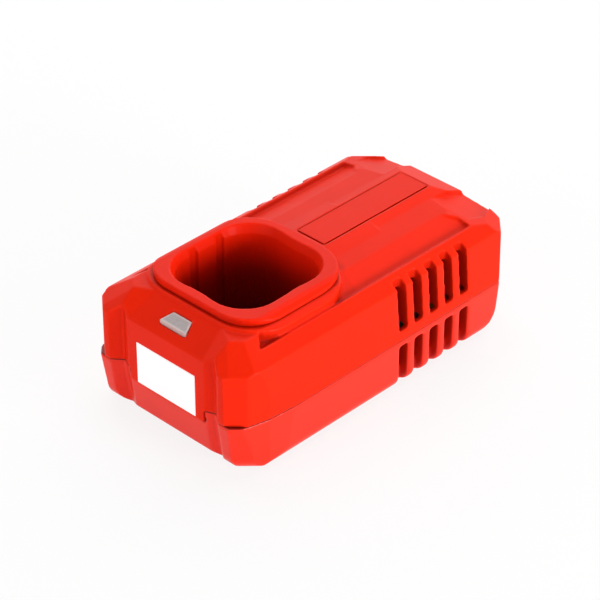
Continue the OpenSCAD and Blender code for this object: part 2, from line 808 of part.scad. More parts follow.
foot_seat = 0.8;
function foot_spots() = [
    [-foot_x, at(foot_front)], [foot_x, at(foot_front)],
    [-foot_x, at(case_l - foot_rear)], [foot_x, at(case_l - foot_rear)]
];

// ---------------------------------------------------------------- battery well

module battery_well() {
    floor_z = -floor_drop;
    color(red) translate([0, 0, seam_z]) difference() {
        union() {
            translate([0, 0, floor_z - floor_t]) linear_extrude(ledge_h + floor_drop + floor_t + 1) well_outline(tube_t);
            collar();
        }
        translate([0, 0, floor_z]) linear_extrude(big) well_outline(-mouth_bevel);
        mouth_funnel();
        key_grooves();
        holder_window(fit_gap);
    }
}

// The collar is flat on top, and its long sides slope down to the ledge.
module collar() {
    flat_half = mouth_w / 2 + 1.8;
    intersection() {
        translate([0, 0, ledge_h]) linear_extrude(rim_h - ledge_h) rounded_box(collar_half, collar_from, collar_to, collar_front_r, collar_rear_r);
        along_y(0, case_l) polygon([
            [-collar_half, 0], [collar_half, 0], [collar_half, ledge_h + 0.9],
            [flat_half + 1.4, rim_h - 0.5], [flat_half, rim_h], [-flat_half, rim_h],
            [-flat_half - 1.4, rim_h - 0.5], [-collar_half, ledge_h + 0.9]
        ]);
    }
}

module mouth_funnel() {
    grow = 1 + 2 * mouth_bevel / (mouth_w - 2 * mouth_bevel);
    translate([0, at(well_at), rim_h - mouth_bevel_h])
        linear_extrude(mouth_bevel_h + tiny, scale = grow) translate([0, -at(well_at)]) well_outline(-mouth_bevel);
}

module key_grooves() {
    x = -mouth_w / 2 + mouth_bevel - 0.3;
    for (s = [-1, 1]) translate([0, at(well_at) + s * key_pitch / 2 + 1, 0])
        box([x - key_deep, -key_w / 2, -floor_drop + 2], [x + 1, key_w / 2, rim_h - 0.8]);
}

// ---------------------------------------------------------------- contacts

holder_x = -14.2;
holder_w = 5.6;
holder_l = 18;
holder_at = 38.4;
holder_top = -3.4;
blade_pitch = 5.4;
blade_t = 0.8;
blade_w = 3.6;
blade_top = -1.6;
module holder_window(gap) {
    box([holder_x - holder_w / 2 - gap, at(holder_at - holder_l / 2 - gap), -floor_drop - floor_t - 1],
        [holder_x + holder_w / 2 + gap, at(holder_at + holder_l / 2 + gap), -floor_drop + 1]);
}

module terminal_holder() {
    flange = 1.2;
    color([0.12, 0.12, 0.13]) translate([0, 0, seam_z]) difference() {
        union() {
            box([holder_x - holder_w / 2, at(holder_at - holder_l / 2), board_top],
                [holder_x + holder_w / 2, at(holder_at + holder_l / 2), holder_top]);
            box([holder_x - holder_w / 2 - flange, at(holder_at - holder_l / 2 - flange), board_top],
                [holder_x + holder_w / 2 + flange, at(holder_at + holder_l / 2 + flange), -floor_drop - floor_t - 0.4]);
        }
        for (i = [-1 : 1]) blade_slot(i, 0.05);
    }
}
module blade_slot(i, gap) {
    y = at(holder_at) + i * blade_pitch;
    box([holder_x - blade_w / 2 - gap, y - blade_t / 2 - gap, board_z - 1.2],
        [holder_x + blade_w / 2 + gap, y + blade_t / 2 + gap, blade_top]);
}
module contact(i) { color([0.80, 0.68, 0.36]) translate([0, 0, seam_z]) blade_slot(i, 0); }
module contact_positive() { contact(-1); }
module contact_sense() { contact(0); }
module contact_negative() { contact(1); }

// ---------------------------------------------------------------- trim

module name_plate() {
    color(red) translate([0, 0, seam_z])
        box([-plate_w / 2 + fit_gap / 2, at(plate_at + fit_gap / 2), deck_h - plate_t],
            [plate_w / 2 - fit_gap / 2, at(plate_at + plate_l - fit_gap / 2), deck_h]);
}

module front_label() {
    color("white") translate([0, at(panel_set) + label_t / 2, seam_z]) rotate([90, 0, 0])
        linear_extrude(label_t) label_outline(0);
}

pipe_w = 7;
pipe_l = 3.2;
led_h = 2;
lens_slope = 0.31;
lens_front_h = 20.3;
module light_pipe() {
    color([0.82, 0.84, 0.86]) translate([0, 0, seam_z]) {
        difference() {
            translate([0, 0, crease_h - 3]) linear_extrude(8) lens_outline(0);
            above([0, at(lens_at), lens_front_h], 0, lens_slope);
        }
        box([-pipe_w / 2, at(lens_at + lens_l - pipe_l), board_top + led_h + mate_gap],
            [pipe_w / 2, at(lens_at + lens_l), crease_h - 3 + tiny]);
    }
}

// ---------------------------------------------------------------- feet and screws

module foot(i) {
    p = foot_spots()[i];
    color([0.13, 0.13, 0.14]) translate([p[0], p[1], 0]) {
        cylinder(d1 = foot_d - 1, d2 = foot_d, h = foot_drop / 2);
        translate([0, 0, foot_drop / 2]) cylinder(d = foot_d, h = foot_drop / 2 + foot_seat);
    }
}
module foot_front_left() { foot(0); }
module foot_front_right() { foot(1); }
module foot_rear_left() { foot(2); }
module foot_rear_right() { foot(3); }

// A screw with its point up. The head's seat is at z = 0.
module screw_up(d, head_d, head_h, l) {
    drive = head_d * 0.55;
    difference() {
        translate([0, 0, -head_h]) cylinder(d = head_d, h = head_h);
        for (a = [0, 90]) rotate([0, 0, a])
            translate([-drive / 2, -head_d * 0.07, -head_h - tiny]) cube([drive, head_d * 0.14, head_h * 0.6]);
    }
    translate([0, 0, -tiny]) cylinder(d = d, h = l - d);
    translate([0, 0, l - d - tiny]) cylinder(d1 = d, d2 = d * 0.4, h = d);
}
module case_screw(i) {
    p = case_screw_spots()[i];
    color([0.60, 0.61, 0.63]) translate([p[0], p[1], seam_z - screw_seat])
        screw_up(pilot_d, 2 * screw_d - 0.4, screw_d * 0.7, screw_l);
}
module case_screw_1() { case_screw(0); }
module case_screw_2() { case_screw(1); }
module case_screw_3() { case_screw(2); }
module case_screw_4() { case_screw(3); }

module board_screws() {
    color([0.60, 0.61, 0.63]) for (p = board_screw_spots)
        translate([p[0], p[1], seam_z + board_top]) rotate([180, 0, 0])
            screw_up(board_pilot_d, 4.2, 1.5, board_t + post_h + wall / 2 - 0.6);
}

// ---------------------------------------------------------------- circuit board

module circuit_board() {
    color([0.12, 0.42, 0.20]) translate([0, 0, seam_z]) difference() {
        box([-board_w / 2, at(board_at), board_z], [board_w / 2, at(board_at + board_l), board_top]);
        for (p = board_screw_spots) translate([p[0], p[1], board_z - 1]) cylinder(d = board_pilot_d + 0.6, h = board_t + 2);
        for (i = [-1 : 1]) blade_slot(i, 0.05);
    }
}

// A boxed component that stands on the board. Its place is its centre.
module on_board(x, depth, size) {
    translate([x - size[0] / 2, at(depth) - size[1] / 2, seam_z + board_top]) cube(size);
}

led_x = 1.8;
led_l = 1.4;
module charge_light(x) { on_board(x, lens_at + lens_l - led_l / 2, [2, led_l, led_h]); }
module charge_light_red() { color([0.90, 0.30, 0.25]) charge_light(-led_x); }
module charge_light_green() { color([0.35, 0.85, 0.40]) charge_light(led_x); }

resistor_pitch = 2.4;
resistor_size = [1.25, 2, 0.55];
chip_size = [3.9, 4.9, 1.5];
module front_resistors() {
    color([0.10, 0.10, 0.11]) for (i = [0 : 2]) on_board(7.5 + i * resistor_pitch, board_at + 2.6, resistor_size);
}
module control_chip() { color([0.10, 0.10, 0.11]) on_board(-9.5, board_at + 3.2, chip_size); }

// ---------------------------------------------------------------- mains inlet

inlet_face = case_l - 0.6;
inlet_mid_z = (board_top + inlet_top) / 2;
module mains_inlet() {
    color([0.10, 0.10, 0.11]) translate([inlet_x, 0, seam_z]) difference() {
        box([-inlet_w / 2, at(inlet_face - inlet_l), board_top], [inlet_w / 2, at(inlet_face), inlet_top]);
        translate([0, at(inlet_face) + 1, inlet_mid_z]) rotate([90, 0, 0]) linear_extrude(recess_deep + 1) {
            square([recess_w - recess_h, recess_h], center = true);
            for (s = [-1, 1]) translate([s * (recess_w - recess_h) / 2, 0]) circle(d = recess_h);
        }
        for (s = [-1, 1]) inlet_pin_place(s) cylinder(d = root_d + mate_gap, h = root_l + 1);
    }
}

// Each pin stands on a wider root, which is held in the back of the housing.
pin_l = 9.6;
pin_tip = 0.8;
root_d = pin_d + 0.8;
root_l = 2;
module inlet_pin_place(s) {
    translate([s * pin_pitch / 2, at(inlet_face - recess_deep) - root_l, inlet_mid_z]) rotate([-90, 0, 0]) children();
}
module inlet_pin(s) {
    color([0.78, 0.78, 0.76]) translate([inlet_x, 0, seam_z]) inlet_pin_place(s) {
        cylinder(d = root_d, h = root_l);
        translate([0, 0, root_l - tiny]) cylinder(d = pin_d, h = pin_l - pin_tip + tiny);
        translate([0, 0, root_l + pin_l - pin_tip - tiny]) cylinder(d1 = pin_d, d2 = pin_d / 2, h = pin_tip);
    }
}
module inlet_pin_left() { inlet_pin(-1); }
module inlet_pin_right() { inlet_pin(1); }

// ---------------------------------------------------------------- power parts

// The power parts fill the room between the well and the inlet. Their depths are given for the
// room's drawn length, and follow it, and they are made smaller in a shorter room.
power_from = 58;
power_drawn = 44;
power_stretch = (inlet_face - inlet_l - power_from) / power_drawn;
module part_at(x, depth) {
    translate([x, at(power_from + (depth - power_from) * power_stretch), seam_z + board_top])
        scale(min(power_stretch, 1)) children();
}

// A block that stands on the board, drawn round its own middle.
module block(size, z = 0) { translate([-size[0] / 2, -size[1] / 2, z]) cube(size); }

fuse_size = [8.4, 7.6];              // diameter and height
varistor_size = [8.4, 3.5, 4.2];     // diameter, thickness and height of its middle
x_capacitor_size = [7, 13, 12];
module fuse() { color([0.15, 0.15, 0.16]) part_at(-15.6, 107.6) can(fuse_size); }
module varistor() { color([0.16, 0.30, 0.62]) part_at(-15.4, 99.6) disc(varistor_size); }
module x_capacitor() { color([0.88, 0.74, 0.22]) part_at(15.6, 104.4) block(x_capacitor_size); }

module can(size) { cylinder(d = size[0], h = size[1]); }
module disc(size) {
    translate([0, -size[1] / 2, size[2]]) rotate([-90, 0, 0]) cylinder(d = size[0], h = size[1]);
}

choke_x = -0.5;
choke_at = 93.4;
choke_size = [14, 11, 15];
choke_window = [3.8, 20, 9];
choke_window_x = 3.1;
choke_foot = 3;                      // height of the windows above the board
choke_coil = [9.6, 9.2, 8.4];
choke_bore = [2.7, 12, 11];
module choke_core() {
    color([0.24, 0.24, 0.26]) part_at(choke_x, choke_at) difference() {
        block(choke_size);
        for (s = [-1, 1]) translate([s * choke_window_x, 0, 0]) block(choke_window, choke_foot);
    }
}
module choke_windings() {
    color([0.75, 0.38, 0.16]) part_at(choke_x, choke_at) difference() {
        block(choke_coil, choke_foot + 0.3);
        block(choke_bore, choke_foot - 1);
    }
}

bridge_size = [5, 8.6, 3.4];
bulk_size = [13, 20];
module bridge_rectifier() { color([0.10, 0.10, 0.11]) part_at(12.4, 92) block(bridge_size); }
module bulk_capacitor() { color([0.14, 0.14, 0.20]) part_at(-13.2, 83) can(bulk_size); }

// A flat transistor package stands upright beside its heatsink, with its three legs.
package_size = [4.5, 10, 14];
leg_size = [0.6, 0.9, 4];
leg_pitch = 2.54;
module package() {
    block(package_size);
    for (i = [-1 : 1]) translate([0, i * leg_pitch, 0]) block(leg_size);
}
sink_size = [1.6, 16, 19];
fin_size = [1.4, 1, 19];
fin_pitch = 3.6;
sink_screw_size = [5, 1.6];
sink_screw_h = 15.4;
module heatsink(side) {
    color([0.70, 0.71, 0.73]) {
        block(sink_size);
        for (i = [-2 : 2]) translate([-side * 1.3, i * fin_pitch, 0]) block(fin_size);
    }
}
module sink_screw() {
    color([0.60, 0.61, 0.63]) translate([0, 0, sink_screw_h]) rotate([0, 90, 0]) can(sink_screw_size);
}

primary_at = 69.6;
module switching_transistor() { color([0.12, 0.12, 0.13]) part_at(-15, primary_at) package(); }
module primary_heatsink() { part_at(-18.1, primary_at) heatsink(1); }
module primary_heatsink_screw() { part_at(-12.7, primary_at) sink_screw(); }

tx_x = 6.4;
tx_at = 78;
tx_size = [24, 8, 20];
tx_window = [5.2, 20, 14];
tx_window_x = 6.2;
tx_floor = 3;                        // height of the core's windows above the board
bobbin_size = [17.2, 16];
bobbin_foot_h = 2.8;
flange_h = 1;
spool_size = [9.2, 10.4, 13.6];
spool_bore = [7.4, 8.2, 14.2];
tape_size = [16.8, 14.8, 11.2];
tape_bore = [9.6, 10.8, 13.2];
module transformer_core() {
    color([0.20, 0.20, 0.22]) part_at(tx_x, tx_at) difference() {
        block(tx_size);
        for (s = [-1, 1]) translate([s * tx_window_x, 0, 0]) block(tx_window, tx_floor);
    }
}
module transformer_bobbin() {
    color([0.10, 0.10, 0.11]) part_at(tx_x, tx_at) difference() {
        union() {
            block([bobbin_size[0], bobbin_size[1], bobbin_foot_h]);
            block([bobbin_size[0], bobbin_size[1], flange_h], tx_floor + 0.2);
            block([bobbin_size[0], bobbin_size[1], flange_h], tx_floor + spool_size[2] - 0.8);
            block(spool_size, tx_floor + 0.2);
        }
        block(spool_bore, tx_floor);
        block([tx_size[0] + 0.2, tx_size[1] + 0.2, tx_floor + 1], -1);
    }
}
module transformer_tape() {
    color([0.90, 0.78, 0.25]) part_at(tx_x, tx_at) difference() {
        block(tape_size, tx_floor + 1.4);
        block(tape_bore, tx_floor + 0.4);
    }
}

y_capacitor_size = [8, 3.4, 4.6];
optocoupler_size = [6.4, 4.6, 3.6];
module y_capacitor() { color([0.20, 0.40, 0.72]) part_at(-9.6, 61.9) disc(y_capacitor_size); }
module optocoupler() { color([0.92, 0.92, 0.90]) part_at(-9.6, 71.5) block(optocoupler_size); }

output_at = 64.4;
output_can = [8, 13];
module output_diode() { color([0.12, 0.12, 0.13]) part_at(14.6, output_at) package(); }
module output_heatsink() { part_at(17.7, output_at) heatsink(-1); }
module output_heatsink_screw() { part_at(10.7, output_at) sink_screw(); }
module output_capacitor_1() { color([0.10, 0.13, 0.22]) part_at(-2.4, 63.8) can(output_can); }
module output_capacitor_2() { color([0.10, 0.13, 0.22]) part_at(6.4, 63.8) can(output_can); }

upper_shell();
lower_shell();
battery_well();
name_plate();
front_label();
light_pipe();
foot_front_left();
foot_front_right();
foot_rear_left();
foot_rear_right();
case_screw_1();
case_screw_2();
case_screw_3();
case_screw_4();
circuit_board();
board_screws();
terminal_holder();
contact_positive();
contact_sense();
contact_negative();
charge_light_red();
charge_light_green();
front_resistors();
control_chip();
mains_inlet();
inlet_pin_left();
inlet_pin_right();
fuse();
varistor();
x_capacitor();
choke_core();
choke_windings();
bridge_rectifier();
bulk_capacitor();
switching_transistor();
primary_heatsink();
primary_heatsink_screw();
transformer_core();
transformer_bobbin();
transformer_tape();
y_capacitor();
optocoupler();
output_diode();
output_heatsink();
output_heatsink_screw();
output_capacitor_1();
output_capacitor_2();
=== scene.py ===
# %% [markdown]
# # A drop-in battery charger, dressed in Blender
# The charger is a red plastic case in two halves. A battery pack drops into the well on
# top, a mains lead plugs in at the rear, and a small lens in front shows the charge light.
# This script is a lesson in cells. It loads the solids that were built in CAD, and makes
# a softer, finished copy of each one that shows, with its own material.
# Every length is in metres, +Z is up, and the front with the label faces -Y.

import math

import bmesh
import bpy
import numpy as np
from mathutils import Matrix, Vector
from mathutils.bvhtree import BVHTree


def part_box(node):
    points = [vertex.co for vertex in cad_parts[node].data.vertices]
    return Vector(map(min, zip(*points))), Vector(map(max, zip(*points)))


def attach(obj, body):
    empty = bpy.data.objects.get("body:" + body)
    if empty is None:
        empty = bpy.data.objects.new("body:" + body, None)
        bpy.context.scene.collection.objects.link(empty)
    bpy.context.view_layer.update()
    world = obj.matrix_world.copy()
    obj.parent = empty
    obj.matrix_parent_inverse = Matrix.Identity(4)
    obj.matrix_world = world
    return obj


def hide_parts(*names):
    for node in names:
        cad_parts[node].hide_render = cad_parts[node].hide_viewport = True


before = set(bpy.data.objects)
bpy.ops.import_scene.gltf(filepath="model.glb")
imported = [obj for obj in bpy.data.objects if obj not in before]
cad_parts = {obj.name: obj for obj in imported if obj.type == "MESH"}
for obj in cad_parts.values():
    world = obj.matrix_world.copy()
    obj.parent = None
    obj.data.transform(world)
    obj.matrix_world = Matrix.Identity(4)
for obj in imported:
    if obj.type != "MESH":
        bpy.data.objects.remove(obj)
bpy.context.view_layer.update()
mm = 0.001

# %% [markdown]
# ## A softened copy of a moulded part
# A moulded part has no sharp edge anywhere, because the steel of the mould is never quite
# sharp and the plastic shrinks away from it. A Bevel modifier could round the edges, but
# where many short edges meet it folds over itself. Here the part is wrapped in a fine
# voxel skin instead, and a few rounds of smoothing wear that skin down at each edge. A
# Decimate modifier then takes part of the small faces away again.
#
# Two values are measured on the finished skin and stored on its corners for the shaders:
# one says how sharply the surface bends, and the shade value says how much of what a corner
# could see is blocked by a wall close by. Short rays cast from each corner measure the second one.
# The shaders paint a highlight on the bent outer edges and shade in the blocked hollows.

# %% Helpers that every piece uses
scene = bpy.context.scene


def link(obj):
    scene.collection.objects.link(obj)
    return obj


def evaluated_mesh(obj, name):
    """The object's mesh with its modifiers in it, as a plain mesh."""
    bpy.context.view_layer.update()
    graph = bpy.context.evaluated_depsgraph_get()
    mesh = bpy.data.meshes.new_from_object(obj.evaluated_get(graph))
    mesh.name = name
    return mesh


def merged_copy(node, name):
    """A CAD node's triangles in a mesh of its own, joined where their corners meet."""
    bm = bmesh.new()
    bm.from_mesh(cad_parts[node].data)
    bmesh.ops.remove_doubles(bm, verts=bm.verts, dist=0.002 * mm)
    mesh = bpy.data.meshes.new(name)
    bm.to_mesh(mesh)
    bm.free()
    return mesh


def points_of(mesh):
    co = np.zeros(len(mesh.vertices) * 3, np.float32)
    mesh.vertices.foreach_get("co", co)
    return co.reshape(-1, 3)


def keep_in_box(mesh, node):
    """Holds every corner inside the box of the solid that the mesh stands for."""
    low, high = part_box(node)
    co = np.clip(points_of(mesh), np.array(low, np.float32), np.array(high, np.float32))
    mesh.vertices.foreach_set("co", co.ravel())
    mesh.update()


def mark_edges(mesh):
    """Stores how strongly the surface bends at each corner: + on outer edges, - in hollows."""
    bm = bmesh.new()
    bm.from_mesh(mesh)
    bend = np.zeros(len(bm.verts), np.float32)
    for v in bm.verts:
        angles = [e.calc_face_angle_signed(0.0) for e in v.link_edges]
        bend[v.index] = sum(angles) / max(1, len(angles))
    bm.free()
    edge_bend = mesh.attributes.new("edge_bend", "FLOAT", "POINT")
    edge_bend.data.foreach_set("value", np.clip(bend / 0.25, -1, 1))


def mark_shade(objects, reach, rays=8):
    """Stores at each corner the share of short rays, spread over its outer side, that hit a piece."""
    verts, faces = [], []
    for obj in objects:
        first = len(verts)
        verts += [v.co for v in obj.data.vertices]
        faces += [[first + i for i in f.vertices] for f in obj.data.polygons]
    walls = BVHTree.FromPolygons(verts, faces)
    golden = math.pi * (3 - math.sqrt(5))
    widest = 0.97
    lift = 0.3 * mm
    spread = []
    for i in range(rays):
        sine = math.sqrt((i + 0.5) / rays) * widest
        cosine = math.sqrt(1 - sine * sine)
        spread.append((sine * math.cos(i * golden), sine * math.sin(i * golden), cosine))
    for obj in objects:
        mesh = obj.data
        hits = np.zeros(len(mesh.vertices), np.float32)
        for v in mesh.vertices:
            turn = v.normal.to_track_quat("Z", "Y").to_matrix()
            start = v.co + v.normal * lift
            found = 0
            for ray in spread:
                if walls.ray_cast(start, turn @ Vector(ray), reach)[0] is not None:
                    found += 1
            hits[v.index] = found / rays
        sums, counts = hits.copy(), np.ones(len(hits), np.float32)
        ends = np.zeros(len(mesh.edges) * 2, np.int64)
        mesh.edges.foreach_get("vertices", ends)
        a, b = ends[0::2], ends[1::2]
        for near, far in ((a, b), (b, a)):
            np.add.at(sums, near, hits[far])
            np.add.at(counts, near, 1)
        shade = mesh.attributes.new("shade", "FLOAT", "POINT")
        shade.data.foreach_set("value", sums / counts)


def moulded(name, node, voxel, rounds, kept=0.5):
    """A copy of a CAD node with softened edges. It rides where the node does and replaces it."""
    obj = link(bpy.data.objects.new(name, merged_copy(node, name)))
    skin = obj.modifiers.new("skin", "REMESH")
    skin.mode = "VOXEL"
    skin.voxel_size = voxel
    soften = obj.modifiers.new("soften", "SMOOTH")
    soften.factor = 0.5
    soften.iterations = rounds
    flats = obj.modifiers.new("flats", "DECIMATE")
    flats.decimate_type = "COLLAPSE"
    flats.ratio = kept
    mesh = evaluated_mesh(obj, name)
    obj.modifiers.clear()
    obj.data = mesh
    keep_in_box(mesh, node)
    mark_edges(mesh)
    mesh.shade_smooth()
    normals = obj.modifiers.new("normals", "WEIGHTED_NORMAL")
    normals.weight = 60
    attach(obj, "root")
    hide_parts(node)
    print(name, len(mesh.polygons), "faces")
    return obj


# %% [markdown]
# ## Shader helpers
# Materials are built in code, so a few short helpers keep them readable: one makes a
# material with its Principled shader, and one adds a node and fills in its inputs.

# %% Material helpers


def add(tree, kind, **values):
    """Adds a node. A value goes to the input of that name, with _ for a space."""
    node = tree.nodes.new(kind)
    for key, value in values.items():
        if hasattr(node, key):
            setattr(node, key, value)
        else:
            node.inputs[key.replace("_", " ")].default_value = value
    return node


def material(name, colour, roughness, metallic=0.0, **more):
    """A material with plain values on its Principled shader. Returns it with its tree and shader."""
    mat = bpy.data.materials.new(name)
    mat.use_nodes = True
    shader = mat.node_tree.nodes["Principled BSDF"]
    shader.inputs["Base Color"].default_value = (*colour, 1)
    shader.inputs["Roughness"].default_value = roughness
    shader.inputs["Metallic"].default_value = metallic
    for key, value in more.items():
        shader.inputs[key.replace("_", " ")].default_value = value
    mat.diffuse_color = (*colour, 1)
    return mat, mat.node_tree, shader


def srgb(r, g, b):
    """A colour as it is seen on screen, 0 to 255, made linear for the shader."""
    return tuple((v / 255 / 12.92) if v < 11 else ((v / 255 + 0.055) / 1.055) ** 2.4 for v in (r, g, b))


# %% [markdown]
# ## Moulded grain
# The mould of a tool case is spark-eroded, which leaves a very fine pitted skin: it makes
# the plastic satin instead of glossy. All the moulded parts share it, so it is a node
# group. It gives out a colour that wanders a little, a roughness and a bumped normal.
# Outer edges are a little smoother, and paler as a painted highlight; the group reads them
# from the bend values stored on each mesh. Hollows are painted darker, as painted shade,
# which it reads from the shade values. A mesh without those values has neither effect.

# %% The grain group


def group_with(name, inputs, outputs):
    tree = bpy.data.node_groups.new(name, "ShaderNodeTree")
    for label, kind, value in inputs:
        socket = tree.interface.new_socket(label, in_out="INPUT", socket_type=kind)
        if value is not None:
            socket.default_value = value
    for label, kind in outputs:
        tree.interface.new_socket(label, in_out="OUTPUT", socket_type=kind)
    return tree, tree.nodes.new("NodeGroupInput"), tree.nodes.new("NodeGroupOutput")


grain_tree, grain_in, grain_out = group_with(
    "moulded_grain",
    [
        ("Colour", "NodeSocketColor", (0.5, 0.5, 0.5, 1)),
        ("Edge Highlight Colour", "NodeSocketColor", (0.6, 0.6, 0.6, 1)),
        ("Roughness", "NodeSocketFloat", 0.4),
        ("Grain per Metre", "NodeSocketFloat", 2600.0),
        ("Grain Depth", "NodeSocketFloat", 0.00002),
        ("Edge Highlight Share", "NodeSocketFloat", 0.5),
    ],
    [("Colour", "NodeSocketColor"), ("Roughness", "NodeSocketFloat"), ("Normal", "NodeSocketVector")],
)
wire = grain_tree.links.new
place = add(grain_tree, "ShaderNodeTexCoord")
pits = add(grain_tree, "ShaderNodeTexNoise", Detail=3.0, Roughness=0.6)
wire(place.outputs["Object"], pits.inputs["Vector"])
wire(grain_in.outputs["Grain per Metre"], pits.inputs["Scale"])
bump = add(grain_tree, "ShaderNodeBump", Strength=1.0)
wire(pits.outputs["Fac"], bump.inputs["Height"])
wire(grain_in.outputs["Grain Depth"], bump.inputs["Distance"])
wire(bump.outputs["Normal"], grain_out.inputs["Normal"])

# Painted highlight: bent outer edges are mixed towards a paler colour, and their roughness drops a little.
edge_bend = add(grain_tree, "ShaderNodeAttribute", attribute_name="edge_bend")
patches = add(grain_tree, "ShaderNodeTexNoise", Scale=90.0, Detail=4.0, Roughness=0.55)
wire(place.outputs["Object"], patches.inputs["Vector"])
outer = add(grain_tree, "ShaderNodeMath", operation="MULTIPLY", use_clamp=True)
wire(edge_bend.outputs["Fac"], outer.inputs[0])
wire(grain_in.outputs["Edge Highlight Share"], outer.inputs[1])
edge_highlight_and_polish = add(grain_tree, "ShaderNodeMath", operation="MULTIPLY", use_clamp=True)
wire(outer.outputs[0], edge_highlight_and_polish.inputs[0])
wire(patches.outputs["Fac"], edge_highlight_and_polish.inputs[1])
edge_highlight_mix = add(grain_tree, "ShaderNodeMix", data_type="RGBA")
wire(edge_highlight_and_polish.outputs[0], edge_highlight_mix.inputs["Factor"])
wire(grain_in.outputs["Colour"], edge_highlight_mix.inputs["A"])
wire(grain_in.outputs["Edge Highlight Colour"], edge_highlight_mix.inputs["B"])
drift = add(grain_tree, "ShaderNodeMapRange", From_Min=0.3, From_Max=0.7, To_Min=0.97, To_Max=1.02)
wire(patches.outputs["Fac"], drift.inputs["Value"])
shade = add(grain_tree, "ShaderNodeHueSaturation")
wire(drift.outputs["Result"], shade.inputs["Value"])
wire(edge_highlight_mix.outputs["Result"], shade.inputs["Color"])
# Painted shade: hollows that the short rays found blocked are drawn darker.
corner = add(grain_tree, "ShaderNodeAttribute", attribute_name="shade")
gloom = add(grain_tree, "ShaderNodeMapRange", From_Min=0.05, From_Max=0.45, To_Min=1.0, To_Max=0.62)
wire(corner.outputs["Fac"], gloom.inputs["Value"])
painted_hollow_shade = add(grain_tree, "ShaderNodeHueSaturation")
wire(gloom.outputs["Result"], painted_hollow_shade.inputs["Value"])
wire(shade.outputs["Color"], painted_hollow_shade.inputs["Color"])
wire(painted_hollow_shade.outputs["Color"], grain_out.inputs["Colour"])

polish = -0.18
pit_roughness = 0.08
rough_low = add(grain_tree, "ShaderNodeMath", operation="MULTIPLY_ADD")
rough_low.inputs[1].default_value = polish
wire(edge_highlight_and_polish.outputs[0], rough_low.inputs[0])
wire(grain_in.outputs["Roughness"], rough_low.inputs[2])
rough_grain = add(grain_tree, "ShaderNodeMath", operation="MULTIPLY_ADD", use_clamp=True)
rough_grain.inputs[1].default_value = pit_roughness
wire(pits.outputs["Fac"], rough_grain.inputs[0])
wire(rough_low.outputs[0], rough_grain.inputs[2])
wire(rough_grain.outputs[0], grain_out.inputs["Roughness"])


def grained(name, colour, edge_highlight, roughness, per_metre=2600.0, depth=0.00002, edge_highlight_share=0.5, mirror=0.06):
    """A moulded plastic that takes its colour, roughness and normal from the grain group."""
    mat, tree, shader = material(name, colour, roughness, Specular_IOR_Level=mirror)
    group = tree.nodes.new("ShaderNodeGroup")
    group.node_tree = grain_tree
    group.inputs["Colour"].default_value = (*colour, 1)
    group.inputs["Edge Highlight Colour"].default_value = (*edge_highlight, 1)
    group.inputs["Roughness"].default_value = roughness
    group.inputs["Grain per Metre"].default_value = per_metre
    group.inputs["Grain Depth"].default_value = depth
    group.inputs["Edge Highlight Share"].default_value = edge_highlight_share
    tree.links.new(group.outputs["Colour"], shader.inputs["Base Color"])
    tree.links.new(group.outputs["Roughness"], shader.inputs["Roughness"])
    tree.links.new(group.outputs["Normal"], shader.inputs["Normal"])
    return mat


# Each plastic's second colour is its painted highlight on outer edges.
case_red = grained("case_red", srgb(236, 36, 7), srgb(243, 48, 20), 0.34)
# The lower half's copy is a touch paler and mirrors more: painted light for the brighter floor light on that
# half.
case_red_lower_lit = grained("case_red_lower_lit", srgb(239, 36, 8), srgb(244, 48, 22), 0.34, mirror=0.26)
well_red = grained("well_red", srgb(236, 32, 4), srgb(242, 44, 18), 0.36)
black_moulding = grained("black_moulding", srgb(24, 24, 26), srgb(44, 44, 46), 0.42)
print("moulded plastics:", [m.name for m in (case_red, case_red_lower_lit, well_red, black_moulding)])

# %% [markdown]
# ### Shade in the deep well
# Light that enters a deep narrow well bounces off its walls a few times, and each bounce
# takes some of it. The wall's colour is also painted darker towards the floor, as painted
# shade in the deep well.

# %% The well's material


def shade_with_depth(mat, top, bottom, least):
    """Multiplies the base colour by a share that falls from 1 at one height to least at another."""
    tree = mat.node_tree
    shader = tree.nodes["Principled BSDF"]
    source = shader.inputs["Base Color"].links[0].from_socket
    place = add(tree, "ShaderNodeTexCoord")
    split = add(tree, "ShaderNodeSeparateXYZ")
    tree.links.new(place.outputs["Object"], split.inputs[0])
    share = add(
        tree, "ShaderNodeMapRange", interpolation_type="SMOOTHSTEP",
        From_Min=bottom, From_Max=top, To_Min=least, To_Max=1.0,
    )
    tree.links.new(split.outputs["Z"], share.inputs["Value"])
    darker = add(tree, "ShaderNodeHueSaturation")
    tree.links.new(share.outputs["Result"], darker.inputs["Value"])
    tree.links.new(source, darker.inputs["Color"])
    tree.links.new(darker.outputs["Color"], shader.inputs["Base Color"])


# Painted shade: the well's wall is drawn darker towards its floor.
shade_with_depth(well_red, top=43 * mm, bottom=26 * mm, least=0.3)

# %% [markdown]
# ### The joint between the halves
# The halves meet in a line that runs round the case at one height, except where the
# upper half's tongue reaches down in front. The gap between the halves lies in shade, and
# that shade is painted into the colour as a thin dark line.

# %% The joint's painted shade
joint_z = 18 * mm
joint_core, joint_edge = 0.08 * mm, 0.34 * mm
joint_shade_strength = 0.62
tongue_half = 15.8 * mm
tongue_rear = -50 * mm


